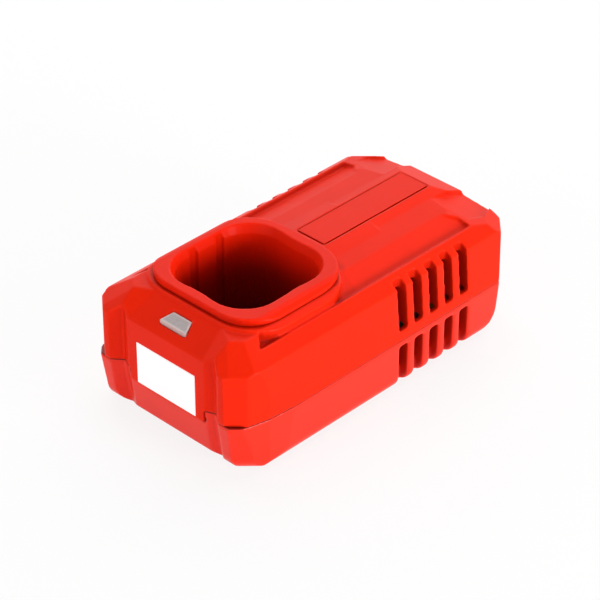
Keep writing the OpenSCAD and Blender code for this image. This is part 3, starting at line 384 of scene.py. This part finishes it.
def with_painted_joint_shade(mat):
    """Paints shade into the base colour in a thin line at the joint's height, but not across the tongue."""
    tree = mat.node_tree
    shader = tree.nodes["Principled BSDF"]
    place = add(tree, "ShaderNodeTexCoord")
    split = add(tree, "ShaderNodeSeparateXYZ")
    tree.links.new(place.outputs["Object"], split.inputs[0])
    off = add(tree, "ShaderNodeMath", operation="SUBTRACT")
    off.inputs[1].default_value = joint_z
    tree.links.new(split.outputs["Z"], off.inputs[0])
    size = add(tree, "ShaderNodeMath", operation="ABSOLUTE")
    tree.links.new(off.outputs[0], size.inputs[0])
    line = add(
        tree, "ShaderNodeMapRange", interpolation_type="SMOOTHSTEP",
        From_Min=joint_core, From_Max=joint_edge, To_Min=1.0, To_Max=0.0,
    )
    tree.links.new(size.outputs[0], line.inputs["Value"])
    aside = add(tree, "ShaderNodeMath", operation="ABSOLUTE")
    tree.links.new(split.outputs["X"], aside.inputs[0])
    beyond = add(tree, "ShaderNodeMath", operation="GREATER_THAN")
    beyond.inputs[1].default_value = tongue_half
    tree.links.new(aside.outputs[0], beyond.inputs[0])
    behind = add(tree, "ShaderNodeMath", operation="GREATER_THAN")
    behind.inputs[1].default_value = tongue_rear
    tree.links.new(split.outputs["Y"], behind.inputs[0])
    there = add(tree, "ShaderNodeMath", operation="MAXIMUM")
    tree.links.new(beyond.outputs[0], there.inputs[0])
    tree.links.new(behind.outputs[0], there.inputs[1])
    share = add(tree, "ShaderNodeMath", operation="MULTIPLY")
    tree.links.new(line.outputs["Result"], share.inputs[0])
    tree.links.new(there.outputs[0], share.inputs[1])
    keep = add(tree, "ShaderNodeMath", operation="MULTIPLY_ADD")
    keep.inputs[1].default_value = -joint_shade_strength
    keep.inputs[2].default_value = 1.0
    tree.links.new(share.outputs[0], keep.inputs[0])
    dark = add(tree, "ShaderNodeHueSaturation")
    tree.links.new(keep.outputs[0], dark.inputs["Value"])
    tree.links.new(shader.inputs["Base Color"].links[0].from_socket, dark.inputs["Color"])
    tree.links.new(dark.outputs["Color"], shader.inputs["Base Color"])


# Painted shade of the gap between the halves, as a thin dark line.
with_painted_joint_shade(case_red)
with_painted_joint_shade(case_red_lower_lit)

# %% [markdown]
# ## The case
# The two halves and the well are the large moulded parts. The upper half carries the
# deck, the sloped bands and the vents, and the well is a tube with a collar.

# %% Case pieces


def finish_piece(obj, mat):
    """Gives a piece its only material."""
    obj.data.materials.clear()
    obj.data.materials.append(mat)
    return obj


upper_case = finish_piece(moulded("upper_case", "upper_shell", 0.42 * mm, 3), case_red)
lower_case = finish_piece(moulded("lower_case", "lower_shell", 0.45 * mm, 3), case_red_lower_lit)
pack_well = finish_piece(moulded("pack_well", "battery_well", 0.36 * mm, 3), well_red)
deck_plate = finish_piece(moulded("deck_plate", "name_plate", 0.2 * mm, 2), case_red)
# These rays find the hollows that the plastics paint darker, as painted shade.
mark_shade([upper_case, lower_case, pack_well, deck_plate], reach=9 * mm)

# %% [markdown]
# ## The lens and the label
# The lens is clear plastic with a bevelled border. Its border catches the light and looks
# pale, and its middle shows the grey inside of the light pipe. The border's mask is the
# distance from the lens's four slanted sides, measured here and stored on the mesh.

# %% Lens
lens_front, lens_back = -55.2 * mm, -50.9 * mm
lens_front_half, lens_back_half = 5.4 * mm, 3.8 * mm
border = 0.75 * mm


def store_border(mesh):
    """1 at the lens's outline, seen from above, and 0 from one border's width inwards."""
    co = points_of(mesh)
    along = (co[:, 1] - lens_front) / (lens_back - lens_front)
    half = lens_front_half + (lens_back_half - lens_front_half) * along
    inside = np.minimum(half - np.abs(co[:, 0]), np.minimum(co[:, 1] - lens_front, lens_back - co[:, 1]))
    rim = mesh.attributes.new("border", "FLOAT", "POINT")
    rim.data.foreach_set("value", np.clip(1 - inside / border, 0, 1).astype(np.float32))


clear_lens, lens_tree, lens_shader = material(
    "clear_lens", srgb(160, 146, 144), 0.12,
    IOR=1.49, Transmission_Weight=0.25, Coat_Weight=0.6, Coat_Roughness=0.05,
)
rim_mask = add(lens_tree, "ShaderNodeAttribute", attribute_name="border")
cloud = add(lens_tree, "ShaderNodeTexNoise", Scale=900.0, Detail=3.0)
lens_place = add(lens_tree, "ShaderNodeTexCoord")
lens_tree.links.new(lens_place.outputs["Object"], cloud.inputs["Vector"])
tones = add(lens_tree, "ShaderNodeValToRGB")
tones.color_ramp.elements[0].color = (*srgb(138, 124, 123), 1)
tones.color_ramp.elements[1].color = (*srgb(176, 160, 158), 1)
lens_tree.links.new(cloud.outputs["Fac"], tones.inputs["Fac"])
pale = add(lens_tree, "ShaderNodeMix", data_type="RGBA")
pale.inputs["B"].default_value = (*srgb(236, 212, 207), 1)
lens_tree.links.new(rim_mask.outputs["Fac"], pale.inputs["Factor"])
lens_tree.links.new(tones.outputs["Color"], pale.inputs["A"])
lens_tree.links.new(pale.outputs["Result"], lens_shader.inputs["Base Color"])

light_lens = moulded("light_lens", "light_pipe", 0.16 * mm, 3, 0.8)
store_border(light_lens.data)
finish_piece(light_lens, clear_lens)

# %% [markdown]
# The label is a plain white film. It is a flat sheet with eased corners, and its surface
# has the faint orange peel of a printed film. It also glows faintly, a painted light that
# keeps it bright white.

# %% Label


def eased(name, node, width, segments=3):
    """A copy of a plain CAD node with bevelled edges. It rides where the node does and replaces it."""
    obj = link(bpy.data.objects.new(name, merged_copy(node, name)))
    flats = obj.modifiers.new("flats", "DECIMATE")
    flats.decimate_type = "DISSOLVE"
    flats.angle_limit = math.radians(3)
    bevel = obj.modifiers.new("bevel", "BEVEL")
    bevel.width = width
    bevel.segments = segments
    bevel.limit_method = "ANGLE"
    bevel.angle_limit = math.radians(40)
    mesh = evaluated_mesh(obj, name)
    obj.modifiers.clear()
    obj.data = mesh
    keep_in_box(mesh, node)
    mark_edges(mesh)
    mesh.shade_smooth()
    normals = obj.modifiers.new("normals", "WEIGHTED_NORMAL")
    normals.weight = 60
    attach(obj, "root")
    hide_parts(node)
    return obj


def textured(name, colour, dark, roughness, scale, metallic=0.0, depth=0.00001, stretch=(1, 1, 1), **more):
    """A material whose colour and bump come from one noise pattern, in two tones."""
    mat, tree, shader = material(name, colour, roughness, metallic, **more)
    place = add(tree, "ShaderNodeTexCoord")
    squeeze = add(tree, "ShaderNodeMapping", Scale=stretch)
    tree.links.new(place.outputs["Object"], squeeze.inputs["Vector"])
    noise = add(tree, "ShaderNodeTexNoise", Scale=scale, Detail=4.0, Roughness=0.6)
    tree.links.new(squeeze.outputs["Vector"], noise.inputs["Vector"])
    tones = add(tree, "ShaderNodeValToRGB")
    tones.color_ramp.elements[0].position = 0.3
    tones.color_ramp.elements[0].color = (*dark, 1)
    tones.color_ramp.elements[1].position = 0.7
    tones.color_ramp.elements[1].color = (*colour, 1)
    tree.links.new(noise.outputs["Fac"], tones.inputs["Fac"])
    tree.links.new(tones.outputs["Color"], shader.inputs["Base Color"])
    spread = add(tree, "ShaderNodeMapRange")
    spread.inputs["To Min"].default_value = roughness - 0.06
    spread.inputs["To Max"].default_value = roughness + 0.06
    tree.links.new(noise.outputs["Fac"], spread.inputs["Value"])
    tree.links.new(spread.outputs["Result"], shader.inputs["Roughness"])
    bump = add(tree, "ShaderNodeBump", Strength=1.0, Distance=depth)
    tree.links.new(noise.outputs["Fac"], bump.inputs["Height"])
    tree.links.new(bump.outputs["Normal"], shader.inputs["Normal"])
    return mat


# The emission makes the label glow faintly: painted light that keeps it bright white.
label_white = textured(
    "label_white", srgb(253, 253, 253), srgb(249, 249, 249), 0.35, 1400.0,
    Emission_Color=(1, 1, 1, 1), Emission_Strength=0.14,
)
finish_piece(eased("label_film", "front_label", 0.06 * mm, 2), label_white)

# %% [markdown]
# ## Repeating parts with Geometry Nodes
# The feet, the screws, the solder joints and the choke's wires each repeat one small mesh.
# One node group places a unit at every point of a mesh, makes the copies real and gives
# them their material. What comes out is turned into a plain mesh.

# %% The repeater


def lathe(name, profile, steps=32):
    """A closed solid turned from (radius, z) points that start and end on the axis."""
    mesh = bpy.data.meshes.new(name)
    rings = profile[1:-1]
    verts = [(0, 0, profile[0][1])]
    for r, z in rings:
        for i in range(steps):
            turned = 2 * math.pi * i / steps
            verts.append((r * math.cos(turned), r * math.sin(turned), z))
    verts.append((0, 0, profile[-1][1]))
    faces = []
    for i in range(steps):
        j = (i + 1) % steps
        faces.append((0, 1 + j, 1 + i))
        for k in range(len(rings) - 1):
            a, b = 1 + k * steps, 1 + (k + 1) * steps
            faces.append((a + i, a + j, b + j, b + i))
        last = 1 + (len(rings) - 1) * steps
        faces.append((last + i, last + j, len(verts) - 1))
    mesh.from_pydata(verts, [], faces)
    mesh.shade_smooth()
    return mesh


repeater = bpy.data.node_groups.new("unit_at_points", "GeometryNodeTree")
repeater.interface.new_socket("Points", in_out="INPUT", socket_type="NodeSocketGeometry")
unit_socket = repeater.interface.new_socket("Unit", in_out="INPUT", socket_type="NodeSocketObject")
finish_socket = repeater.interface.new_socket("Finish", in_out="INPUT", socket_type="NodeSocketMaterial")
repeater.interface.new_socket("Copies", in_out="OUTPUT", socket_type="NodeSocketGeometry")
r_in = repeater.nodes.new("NodeGroupInput")
r_out = repeater.nodes.new("NodeGroupOutput")
r_unit = repeater.nodes.new("GeometryNodeObjectInfo")
r_put = repeater.nodes.new("GeometryNodeInstanceOnPoints")
r_real = repeater.nodes.new("GeometryNodeRealizeInstances")
r_finish = repeater.nodes.new("GeometryNodeSetMaterial")
r_link = repeater.links.new
r_link(r_in.outputs["Points"], r_put.inputs["Points"])
r_link(r_in.outputs["Unit"], r_unit.inputs["Object"])
r_link(r_unit.outputs["Geometry"], r_put.inputs["Instance"])
r_link(r_put.outputs["Instances"], r_real.inputs["Geometry"])
r_link(r_real.outputs["Geometry"], r_finish.inputs["Geometry"])
r_link(r_in.outputs["Finish"], r_finish.inputs["Material"])
r_link(r_finish.outputs["Geometry"], r_out.inputs["Copies"])


def repeated(name, unit_mesh, points, mat, nodes=()):
    """One piece with a copy of the unit at each point. It replaces the nodes that are named."""
    unit = link(bpy.data.objects.new(name + "_unit", unit_mesh))
    spots = bpy.data.meshes.new(name + "_spots")
    spots.from_pydata([tuple(p) for p in points], [], [])
    obj = link(bpy.data.objects.new(name, spots))
    mod = obj.modifiers.new("repeat", "NODES")
    mod.node_group = repeater
    mod[unit_socket.identifier] = unit
    mod[finish_socket.identifier] = mat
    mesh = evaluated_mesh(obj, name)
    obj.modifiers.clear()
    obj.data = mesh
    bpy.data.objects.remove(unit)
    mark_edges(mesh)
    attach(obj, "root")
    if nodes:
        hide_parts(*nodes)
    print(name, len(points), "copies,", len(mesh.polygons), "faces")
    return obj


# %% Feet and case screws
foot_rubber = textured("foot_rubber", srgb(40, 40, 42), srgb(26, 26, 28), 0.85, 2200.0, depth=0.00004)
foot_profile = [
    (0, 0.25), (2.6, 0.25), (3.0, 0.0), (4.1, 0.0), (4.55, 0.12), (4.9, 0.45), (5, 0.9), (5, 1.8), (0, 1.8),
]
foot_x = 21
foot_front, foot_rear = -35.8, 32.2
foot_spots = [(x * mm, y * mm, 0) for x in (-foot_x, foot_x) for y in (foot_front, foot_rear)]
repeated(
    "feet",
    lathe("foot", [(r * mm, z * mm) for r, z in foot_profile], 40),
    foot_spots,
    foot_rubber,
    ("foot_front_left", "foot_front_right", "foot_rear_left", "foot_rear_right"),
)

zinc = textured(
    "screw_steel", srgb(186, 188, 190), srgb(160, 162, 166), 0.32, 3000.0, metallic=1.0, depth=0.000004
)


def thread(radius, core, start, end, pitch):
    """Points of a thread's outline between two heights, as rings from root to crest."""
    out = []
    z = start
    while z + pitch < end:
        out += [(core, z), (radius, z + pitch * 0.5)]
        z += pitch
    return out


def screw_mesh(name, head_r, head_h, shaft_r, length):
    """A pan-head screw, point up and head down, with its seat at z = 0 and a cross recess."""
    profile = [(0, -head_h), (head_r * 0.8, -head_h), (head_r * 0.94, -head_h * 0.86)]
    profile += [(head_r, -head_h * 0.6), (head_r, 0), (shaft_r, 0)]
    profile += thread(shaft_r, shaft_r * 0.72, 0.4 * mm, length - 1.6 * mm, 1.0 * mm)
    profile += [(shaft_r * 0.7, length - 1.4 * mm), (0, length)]
    mesh = lathe(name, profile, 32)
    body = link(bpy.data.objects.new(name, mesh))
    for turn in (0, 90):
        bar_mesh = bpy.data.meshes.new("bar")
        bm = bmesh.new()
        size = (head_r * 1.15, head_r * 0.27, head_h * 1.3)
        bmesh.ops.create_cube(bm, size=1.0, matrix=Matrix.Diagonal((*size, 1)))
        bmesh.ops.rotate(bm, verts=bm.verts, matrix=Matrix.Rotation(math.radians(turn), 3, "Z"))
        bmesh.ops.translate(bm, verts=bm.verts, vec=(0, 0, -head_h))
        bm.to_mesh(bar_mesh)
        bm.free()
        bar = link(bpy.data.objects.new("bar", bar_mesh))
        cut = body.modifiers.new("cut", "BOOLEAN")
        cut.operation = "DIFFERENCE"
        cut.object = bar
        cut.solver = "EXACT"
        done = evaluated_mesh(body, name)
        body.modifiers.clear()
        body.data = done
        bpy.data.objects.remove(bar)
    mesh = body.data
    bpy.data.objects.remove(body)
    return mesh


screw_x = 25.5
screw_front, screw_rear = -49.2, 46.8
screw_seat = 11
repeated(
    "case_screws",
    screw_mesh("case_screw", head_r=2.8 * mm, head_h=2.1 * mm, shaft_r=1.24 * mm, length=14 * mm),
    [(x * mm, y * mm, screw_seat * mm) for x in (-screw_x, screw_x) for y in (screw_front, screw_rear)],
    zinc,
    ("case_screw_1", "case_screw_2", "case_screw_3", "case_screw_4"),
)

# %% [markdown]
# ## The mains inlet and the contacts
# The inlet and the contact holder are moulded in black. The pins and the blades are metal
# with eased ends, so that a plug and a pack slide over them.

# %% Inlet, pins, holder and blades
for name, node, skin in (("inlet_body", "mains_inlet", 0.2), ("holder_body", "terminal_holder", 0.16)):
    finish_piece(moulded(name, node, skin * mm, 2, 0.35), black_moulding)
nickel = textured(
    "pin_nickel", srgb(214, 211, 203), srgb(196, 193, 186), 0.2, 2500.0, metallic=1.0, depth=0.000003
)
plated = textured(
    "contact_metal", srgb(226, 200, 128), srgb(200, 170, 96), 0.28, 1800.0, metallic=1.0, depth=0.000003
)
pin_profile = [
    (0, -2), (1.5, -2), (1.58, -1.9), (1.58, -0.05), (1.18, 0),
    (1.18, 8.3), (1.08, 8.9), (0.8, 9.35), (0, 9.6),
]
pin_x = 4.3
pin_face, pin_z = 46.6, 12.1
for side, x in (("left", -pin_x), ("right", pin_x)):
    mesh = lathe("inlet_pin_" + side, [(r * mm, z * mm) for r, z in pin_profile], 28)
    lay_down = Matrix.Rotation(-math.pi / 2, 4, "X")
    mesh.transform(Matrix.Translation((x * mm, pin_face * mm, pin_z * mm)) @ lay_down)
    pin = link(bpy.data.objects.new("plug_pin_" + side, mesh))
    keep_in_box(mesh, "inlet_pin_" + side)
    mark_edges(mesh)
    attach(pin, "root")
    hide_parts("inlet_pin_" + side)
    finish_piece(pin, nickel)
for kind in ("positive", "sense", "negative"):
    finish_piece(eased("blade_" + kind, "contact_" + kind, 0.15 * mm), plated)
print("inlet and contacts: 2 mouldings, 2 pins, 3 blades")

# %% [markdown]
# ## Inside the case
# Little of the inside shows: the vents give a glimpse of it. Still, each part has its own
# finish, and most have an eased copy. The cans show bare aluminium on top, by the
# direction in which the surface faces.

# %% Finishes for the inside


def facing_up(tree, least):
    """A mask that is 1 where the surface faces up or down by more than a share."""
    geometry = add(tree, "ShaderNodeNewGeometry")
    split = add(tree, "ShaderNodeSeparateXYZ")
    tree.links.new(geometry.outputs["Normal"], split.inputs[0])
    size = add(tree, "ShaderNodeMath", operation="ABSOLUTE")
    tree.links.new(split.outputs["Z"], size.inputs[0])
    over = add(tree, "ShaderNodeMath", operation="GREATER_THAN")
    over.inputs[1].default_value = least
    tree.links.new(size.outputs[0], over.inputs[0])
    return over.outputs[0]


def two_faced(mat, up_colour, up_metal=0.0):
    """Gives the faces that look up or down a colour of their own."""
    tree = mat.node_tree
    shader = tree.nodes["Principled BSDF"]
    mask = facing_up(tree, 0.9)
    blend = add(tree, "ShaderNodeMix", data_type="RGBA")
    tree.links.new(mask, blend.inputs["Factor"])
    tree.links.new(shader.inputs["Base Color"].links[0].from_socket, blend.inputs["A"])
    blend.inputs["B"].default_value = (*up_colour, 1)
    tree.links.new(blend.outputs["Result"], shader.inputs["Base Color"])
    metal = add(tree, "ShaderNodeMath", operation="MULTIPLY")
    metal.inputs[1].default_value = up_metal
    tree.links.new(mask, metal.inputs[0])
    tree.links.new(metal.outputs[0], shader.inputs["Metallic"])
    return mat


def banded(mat, per_metre, depth, direction):
    """Adds fine parallel ridges, as of wound tape or wire, to a textured material."""
    tree = mat.node_tree
    shader = tree.nodes["Principled BSDF"]
    wave = add(tree, "ShaderNodeTexWave", bands_direction=direction, Scale=per_metre, Distortion=0.6)
    place = add(tree, "ShaderNodeTexCoord")
    tree.links.new(place.outputs["Object"], wave.inputs["Vector"])
    ridges = add(tree, "ShaderNodeBump", Strength=1.0, Distance=depth)
    tree.links.new(wave.outputs["Fac"], ridges.inputs["Height"])
    tree.links.new(shader.inputs["Normal"].links[0].from_socket, ridges.inputs["Normal"])
    tree.links.new(ridges.outputs["Normal"], shader.inputs["Normal"])
    return mat


board_green = textured("board_green", srgb(26, 66, 38), srgb(16, 48, 28), 0.3, 700.0, depth=0.00002)
resin = textured("black_resin", srgb(36, 36, 38), srgb(26, 26, 28), 0.55, 2600.0)
blue_resin = textured("blue_resin", srgb(44, 92, 168), srgb(34, 76, 146), 0.25, 600.0)
yellow_box = textured("yellow_box", srgb(226, 190, 60), srgb(208, 172, 48), 0.4, 900.0)
ferrite = textured("ferrite", srgb(62, 62, 66), srgb(44, 44, 48), 0.6, 3200.0, depth=0.00003)
copper = textured("copper_wire", srgb(196, 104, 52), srgb(170, 82, 38), 0.25, 500.0, metallic=0.9)
sleeve = two_faced(
    textured("capacitor_sleeve", srgb(34, 40, 66), srgb(28, 32, 54), 0.3, 500.0), srgb(190, 192, 194), 1.0
)
aluminium = textured(
    "heatsink_aluminium", srgb(200, 202, 205), srgb(178, 180, 184), 0.35, 900.0,
    metallic=1.0, stretch=(1, 1, 0.08),
)
plain_tape = textured("yellow_tape", srgb(228, 196, 66), srgb(212, 178, 52), 0.35, 700.0)
tape = banded(plain_tape, per_metre=260.0, depth=0.00004, direction="Z")
white_case = textured("white_package", srgb(228, 228, 222), srgb(214, 214, 208), 0.5, 2600.0)
light_red = textured("light_red", srgb(206, 66, 56), srgb(188, 52, 44), 0.15, 1200.0, Transmission_Weight=0.3)
light_green = textured(
    "light_green", srgb(120, 200, 112), srgb(104, 182, 98), 0.15, 1200.0, Transmission_Weight=0.3
)
two_faced(yellow_box, srgb(214, 178, 52))

# %% Inside pieces
inside = {
    "fuse": (resin, "black_resin", 0.5),
    "varistor": (blue_resin, "blue_resin", 0.9),
    "x_capacitor": (yellow_box, "yellow_box", 0.4),
    "choke_core": (ferrite, "ferrite", 0.3),
    "bridge_rectifier": (resin, "black_resin", 0.3),
    "bulk_capacitor": (sleeve, "capacitor_sleeve", 0.6),
    "switching_transistor": (resin, "black_resin", 0.1),
    "primary_heatsink": (aluminium, "heatsink_aluminium", 0.12),
    "primary_heatsink_screw": (zinc, "screw_steel", 0.3),
    "transformer_core": (ferrite, "ferrite", 0.3),
    "transformer_bobbin": (black_moulding, "black_moulding", 0.15),
    "transformer_tape": (tape, "yellow_tape", 0.5),
    "y_capacitor": (blue_resin, "blue_resin", 0.9),
    "optocoupler": (white_case, "white_package", 0.25),
    "output_diode": (resin, "black_resin", 0.1),
    "output_heatsink": (aluminium, "heatsink_aluminium", 0.12),
    "output_heatsink_screw": (zinc, "screw_steel", 0.3),
    "output_capacitor_1": (sleeve, "capacitor_sleeve", 0.5),
    "output_capacitor_2": (sleeve, "capacitor_sleeve", 0.5),
    "control_chip": (resin, "black_resin", 0.15),
    "charge_light_red": (light_red, "light_red", 0.2),
    "charge_light_green": (light_green, "light_green", 0.2),
    "front_resistors": (resin, "black_resin", 0.08),
}
for node_name, (mat, slot, width) in inside.items():
    finish_piece(eased("made_" + node_name, node_name, width * mm), mat)

for node_name, mat in (("circuit_board", board_green), ("board_screws", zinc)):
    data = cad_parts[node_name].data
    data.materials.clear()
    data.materials.append(mat)
print("inside:", len(inside), "eased copies and 2 CAD nodes with a finish")

# %% [markdown]
# ## The choke's wires and the solder joints
# The choke is wound in two halves, each four layers wide and ten turns high, so its wires
# are one short rod at many points. Under the board each leg ends in a small solder cone.

# %% Choke wires
wire_r = 0.4
wire_half, wire_end_r, wire_end = 4.5, 0.3, 4.6
wire_profile = [
    (0, -wire_end), (wire_end_r, -wire_end), (wire_r, -wire_half),
    (wire_r, wire_half), (wire_end_r, wire_end), (0, wire_end),
]
wire_unit = lathe("wire", [(r * mm, z * mm) for r, z in wire_profile], 10)
wire_unit.transform(Matrix.Rotation(-math.pi / 2, 4, "X"))
choke_x, choke_y, choke_foot = -0.5, 33.6, 10.0
core_half = 1.35
layer_step, turn_step = 0.86, 0.84
layers, turns = 4, 10
wire_spots = []
for side in (-1, 1):
    for layer in range(layers):
        x = choke_x + side * (core_half + wire_r + layer * layer_step)
        for level in range(turns):
            wire_spots.append((x * mm, choke_y * mm, (choke_foot + wire_r + level * turn_step) * mm))
repeated("choke_wires", wire_unit, wire_spots, copper, ("choke_windings",))

# %% Solder joints
board_bottom = 5.1
solder = textured("solder", srgb(206, 208, 210), srgb(180, 182, 186), 0.25, 2000.0, metallic=1.0)
joint_profile = [(0, -0.95), (0.35, -0.8), (0.7, -0.22), (1.0, 0.0), (0, 0.02)]
joint = lathe("joint", [(r * mm, z * mm) for r, z in joint_profile], 14)
legs = {
    "fuse": [(-15.6, 44.6), (-15.6, 51.0)],
    "varistor": [(-17.6, 39.8), (-13.2, 39.8)],
    "x_capacitor": [(15.6, 39.4), (15.6, 49.8)],
    "choke": [(-3.6, 30.2), (-3.6, 37.0), (2.6, 30.2), (2.6, 37.0)],
    "bridge_rectifier": [(12.4, y) for y in (29.0, 31.6, 34.2)],
    "bulk_capacitor": [(-13.2, 20.7), (-13.2, 25.7)],
    "switching_transistor": [(-15.0, y) for y in (7.3, 9.8, 12.3)],
    "transformer_first_row": [(x, 11.4) for x in (-0.6, 3.0, 6.6, 10.2)],
    "transformer_second_row": [(x, 25.0) for x in (0.6, 5.0, 10.0)],
    "output_diode": [(14.6, y) for y in (2.1, 4.6, 7.1)],
    "output_capacitors": [(-2.4, 2.2), (-2.4, 5.8), (6.4, 2.2), (6.4, 5.8)],
    "contact_blades": [(-14.2, y) for y in (-26.8, -21.4, -16.0)],
    "inlet": [(-3.6, 50.0), (4.3, 50.0)],
    "y_capacitor": [(-11.6, 2.1), (-7.6, 2.1)],
}
joint_spots = [(x * mm, y * mm, board_bottom * mm) for spots in legs.values() for x, y in spots]
repeated("solder_joints", joint, joint_spots, solder)

# %% [markdown]
# ## Camera
# The photograph was taken from above, in front and to the right, with a long lens from
# about 80 cm. The camera's place and its three axes were worked out from where the case's
# corners lie in the photograph.

# %% Camera
eye = Vector((461.5, -477.3, 474.9)) * mm
right = Vector((0.7168, 0.6973, 0.0))
back = Vector((0.5754, -0.5915, 0.5648)).normalized()
up = back.cross(right).normalized()
right = up.cross(back).normalized()
camera_data = bpy.data.cameras.new("studio_camera")
camera_data.sensor_width = 36.0
camera_data.lens = 159.8
camera_data.clip_start = 0.05
camera_data.clip_end = 20.0
camera = link(bpy.data.objects.new("studio_camera", camera_data))
camera_turn = Matrix((right, up, back)).transposed().to_4x4()
camera.matrix_world = Matrix.Translation(eye) @ camera_turn
scene.camera = camera
print("camera: distance", round(eye.length, 2), "m, focal length", camera_data.lens, "mm")

# %% [markdown]
# ## Light and floor
# A product shot on white is lit from all round by soft boxes. The world gives the even
# light, bright near the horizon and dim overhead. A large lamp behind lights the deck, one
# in front lights the label's side, and a small low one on the right makes that side of the
# case the brightest. The camera sees the world and the floor as white.

# %% World, lamps and floor


def seen_ray(tree):
    """1 on the rays that show the background: straight from the camera, mirrored or refracted."""
    path = add(tree, "ShaderNodeLightPath")
    total = path.outputs["Is Camera Ray"]
    for kind in ("Is Glossy Ray", "Is Transmission Ray"):
        plus = add(tree, "ShaderNodeMath", operation="ADD", use_clamp=True)
        tree.links.new(total, plus.inputs[0])
        tree.links.new(path.outputs[kind], plus.inputs[1])
        total = plus.outputs[0]
    return total


world = bpy.data.worlds.new("studio")
scene.world = world
world.use_nodes = True
wt = world.node_tree
sky = wt.nodes["Background"]
sky.inputs["Color"].default_value = (1, 1, 1, 1)
heading = wt.nodes.new("ShaderNodeTexCoord")
split = wt.nodes.new("ShaderNodeSeparateXYZ")
wt.links.new(heading.outputs["Generated"], split.inputs[0])
fade = add(
    wt, "ShaderNodeMapRange", interpolation_type="SMOOTHSTEP",
    From_Min=0.35, From_Max=0.75, To_Min=0.82, To_Max=0.12,
)
wt.links.new(split.outputs["Z"], fade.inputs["Value"])
wt.links.new(fade.outputs["Result"], sky.inputs["Strength"])
seen = wt.nodes.new("ShaderNodeBackground")
seen.inputs["Color"].default_value = (1, 1, 1, 1)
seen.inputs["Strength"].default_value = 1.0
both = wt.nodes.new("ShaderNodeMixShader")
wt.links.new(seen_ray(wt), both.inputs["Fac"])
wt.links.new(sky.outputs[0], both.inputs[1])
wt.links.new(seen.outputs[0], both.inputs[2])
wt.links.new(both.outputs[0], wt.nodes["World Output"].inputs["Surface"])


def lamp(name, place, aim, size, watts):
    """A square soft box that looks at a point."""
    data = bpy.data.lights.new(name, "AREA")
    data.shape = "SQUARE"
    data.size = size
    data.energy = watts
    obj = link(bpy.data.objects.new(name, data))
    obj.location = place
    obj.rotation_mode = "QUATERNION"
    obj.rotation_quaternion = (Vector(aim) - Vector(place)).to_track_quat("-Z", "Y")
    return obj


middle = (0.0, 0.0, 0.02)
lamp("rear_box", (-0.37, 0.55, 0.88), middle, size=1.6, watts=12.6)
lamp("side_box", (0.98, 0.1, 0.16), middle, size=0.3, watts=7.6)
lamp("front_box", (0.0, -1.0, 0.3), middle, size=0.8, watts=2.6)

floor_mesh = bpy.data.meshes.new("floor")
floor_half = 3.0
floor_corners = [(x * floor_half, y * floor_half, 0) for x, y in ((-1, -1), (1, -1), (1, 1), (-1, 1))]
floor_mesh.from_pydata(floor_corners, [], [(0, 1, 2, 3)])
floor = link(bpy.data.objects.new("floor", floor_mesh))
floor_mat, floor_tree, floor_shader = material("floor_white", (0.95, 0.95, 0.95), 0.9)
glow = add(floor_tree, "ShaderNodeEmission", Strength=1.0)
glow_share = add(floor_tree, "ShaderNodeMath", operation="MULTIPLY")
glow_share.inputs[1].default_value = 0.85
floor_tree.links.new(seen_ray(floor_tree), glow_share.inputs[0])
floor_mix = add(floor_tree, "ShaderNodeMixShader")
floor_tree.links.new(glow_share.outputs[0], floor_mix.inputs["Fac"])
floor_tree.links.new(floor_shader.outputs[0], floor_mix.inputs[1])
floor_tree.links.new(glow.outputs[0], floor_mix.inputs[2])
floor_tree.links.new(floor_mix.outputs[0], floor_tree.nodes["Material Output"].inputs["Surface"])
floor.data.materials.append(floor_mat)

scene.view_settings.view_transform = "Standard"
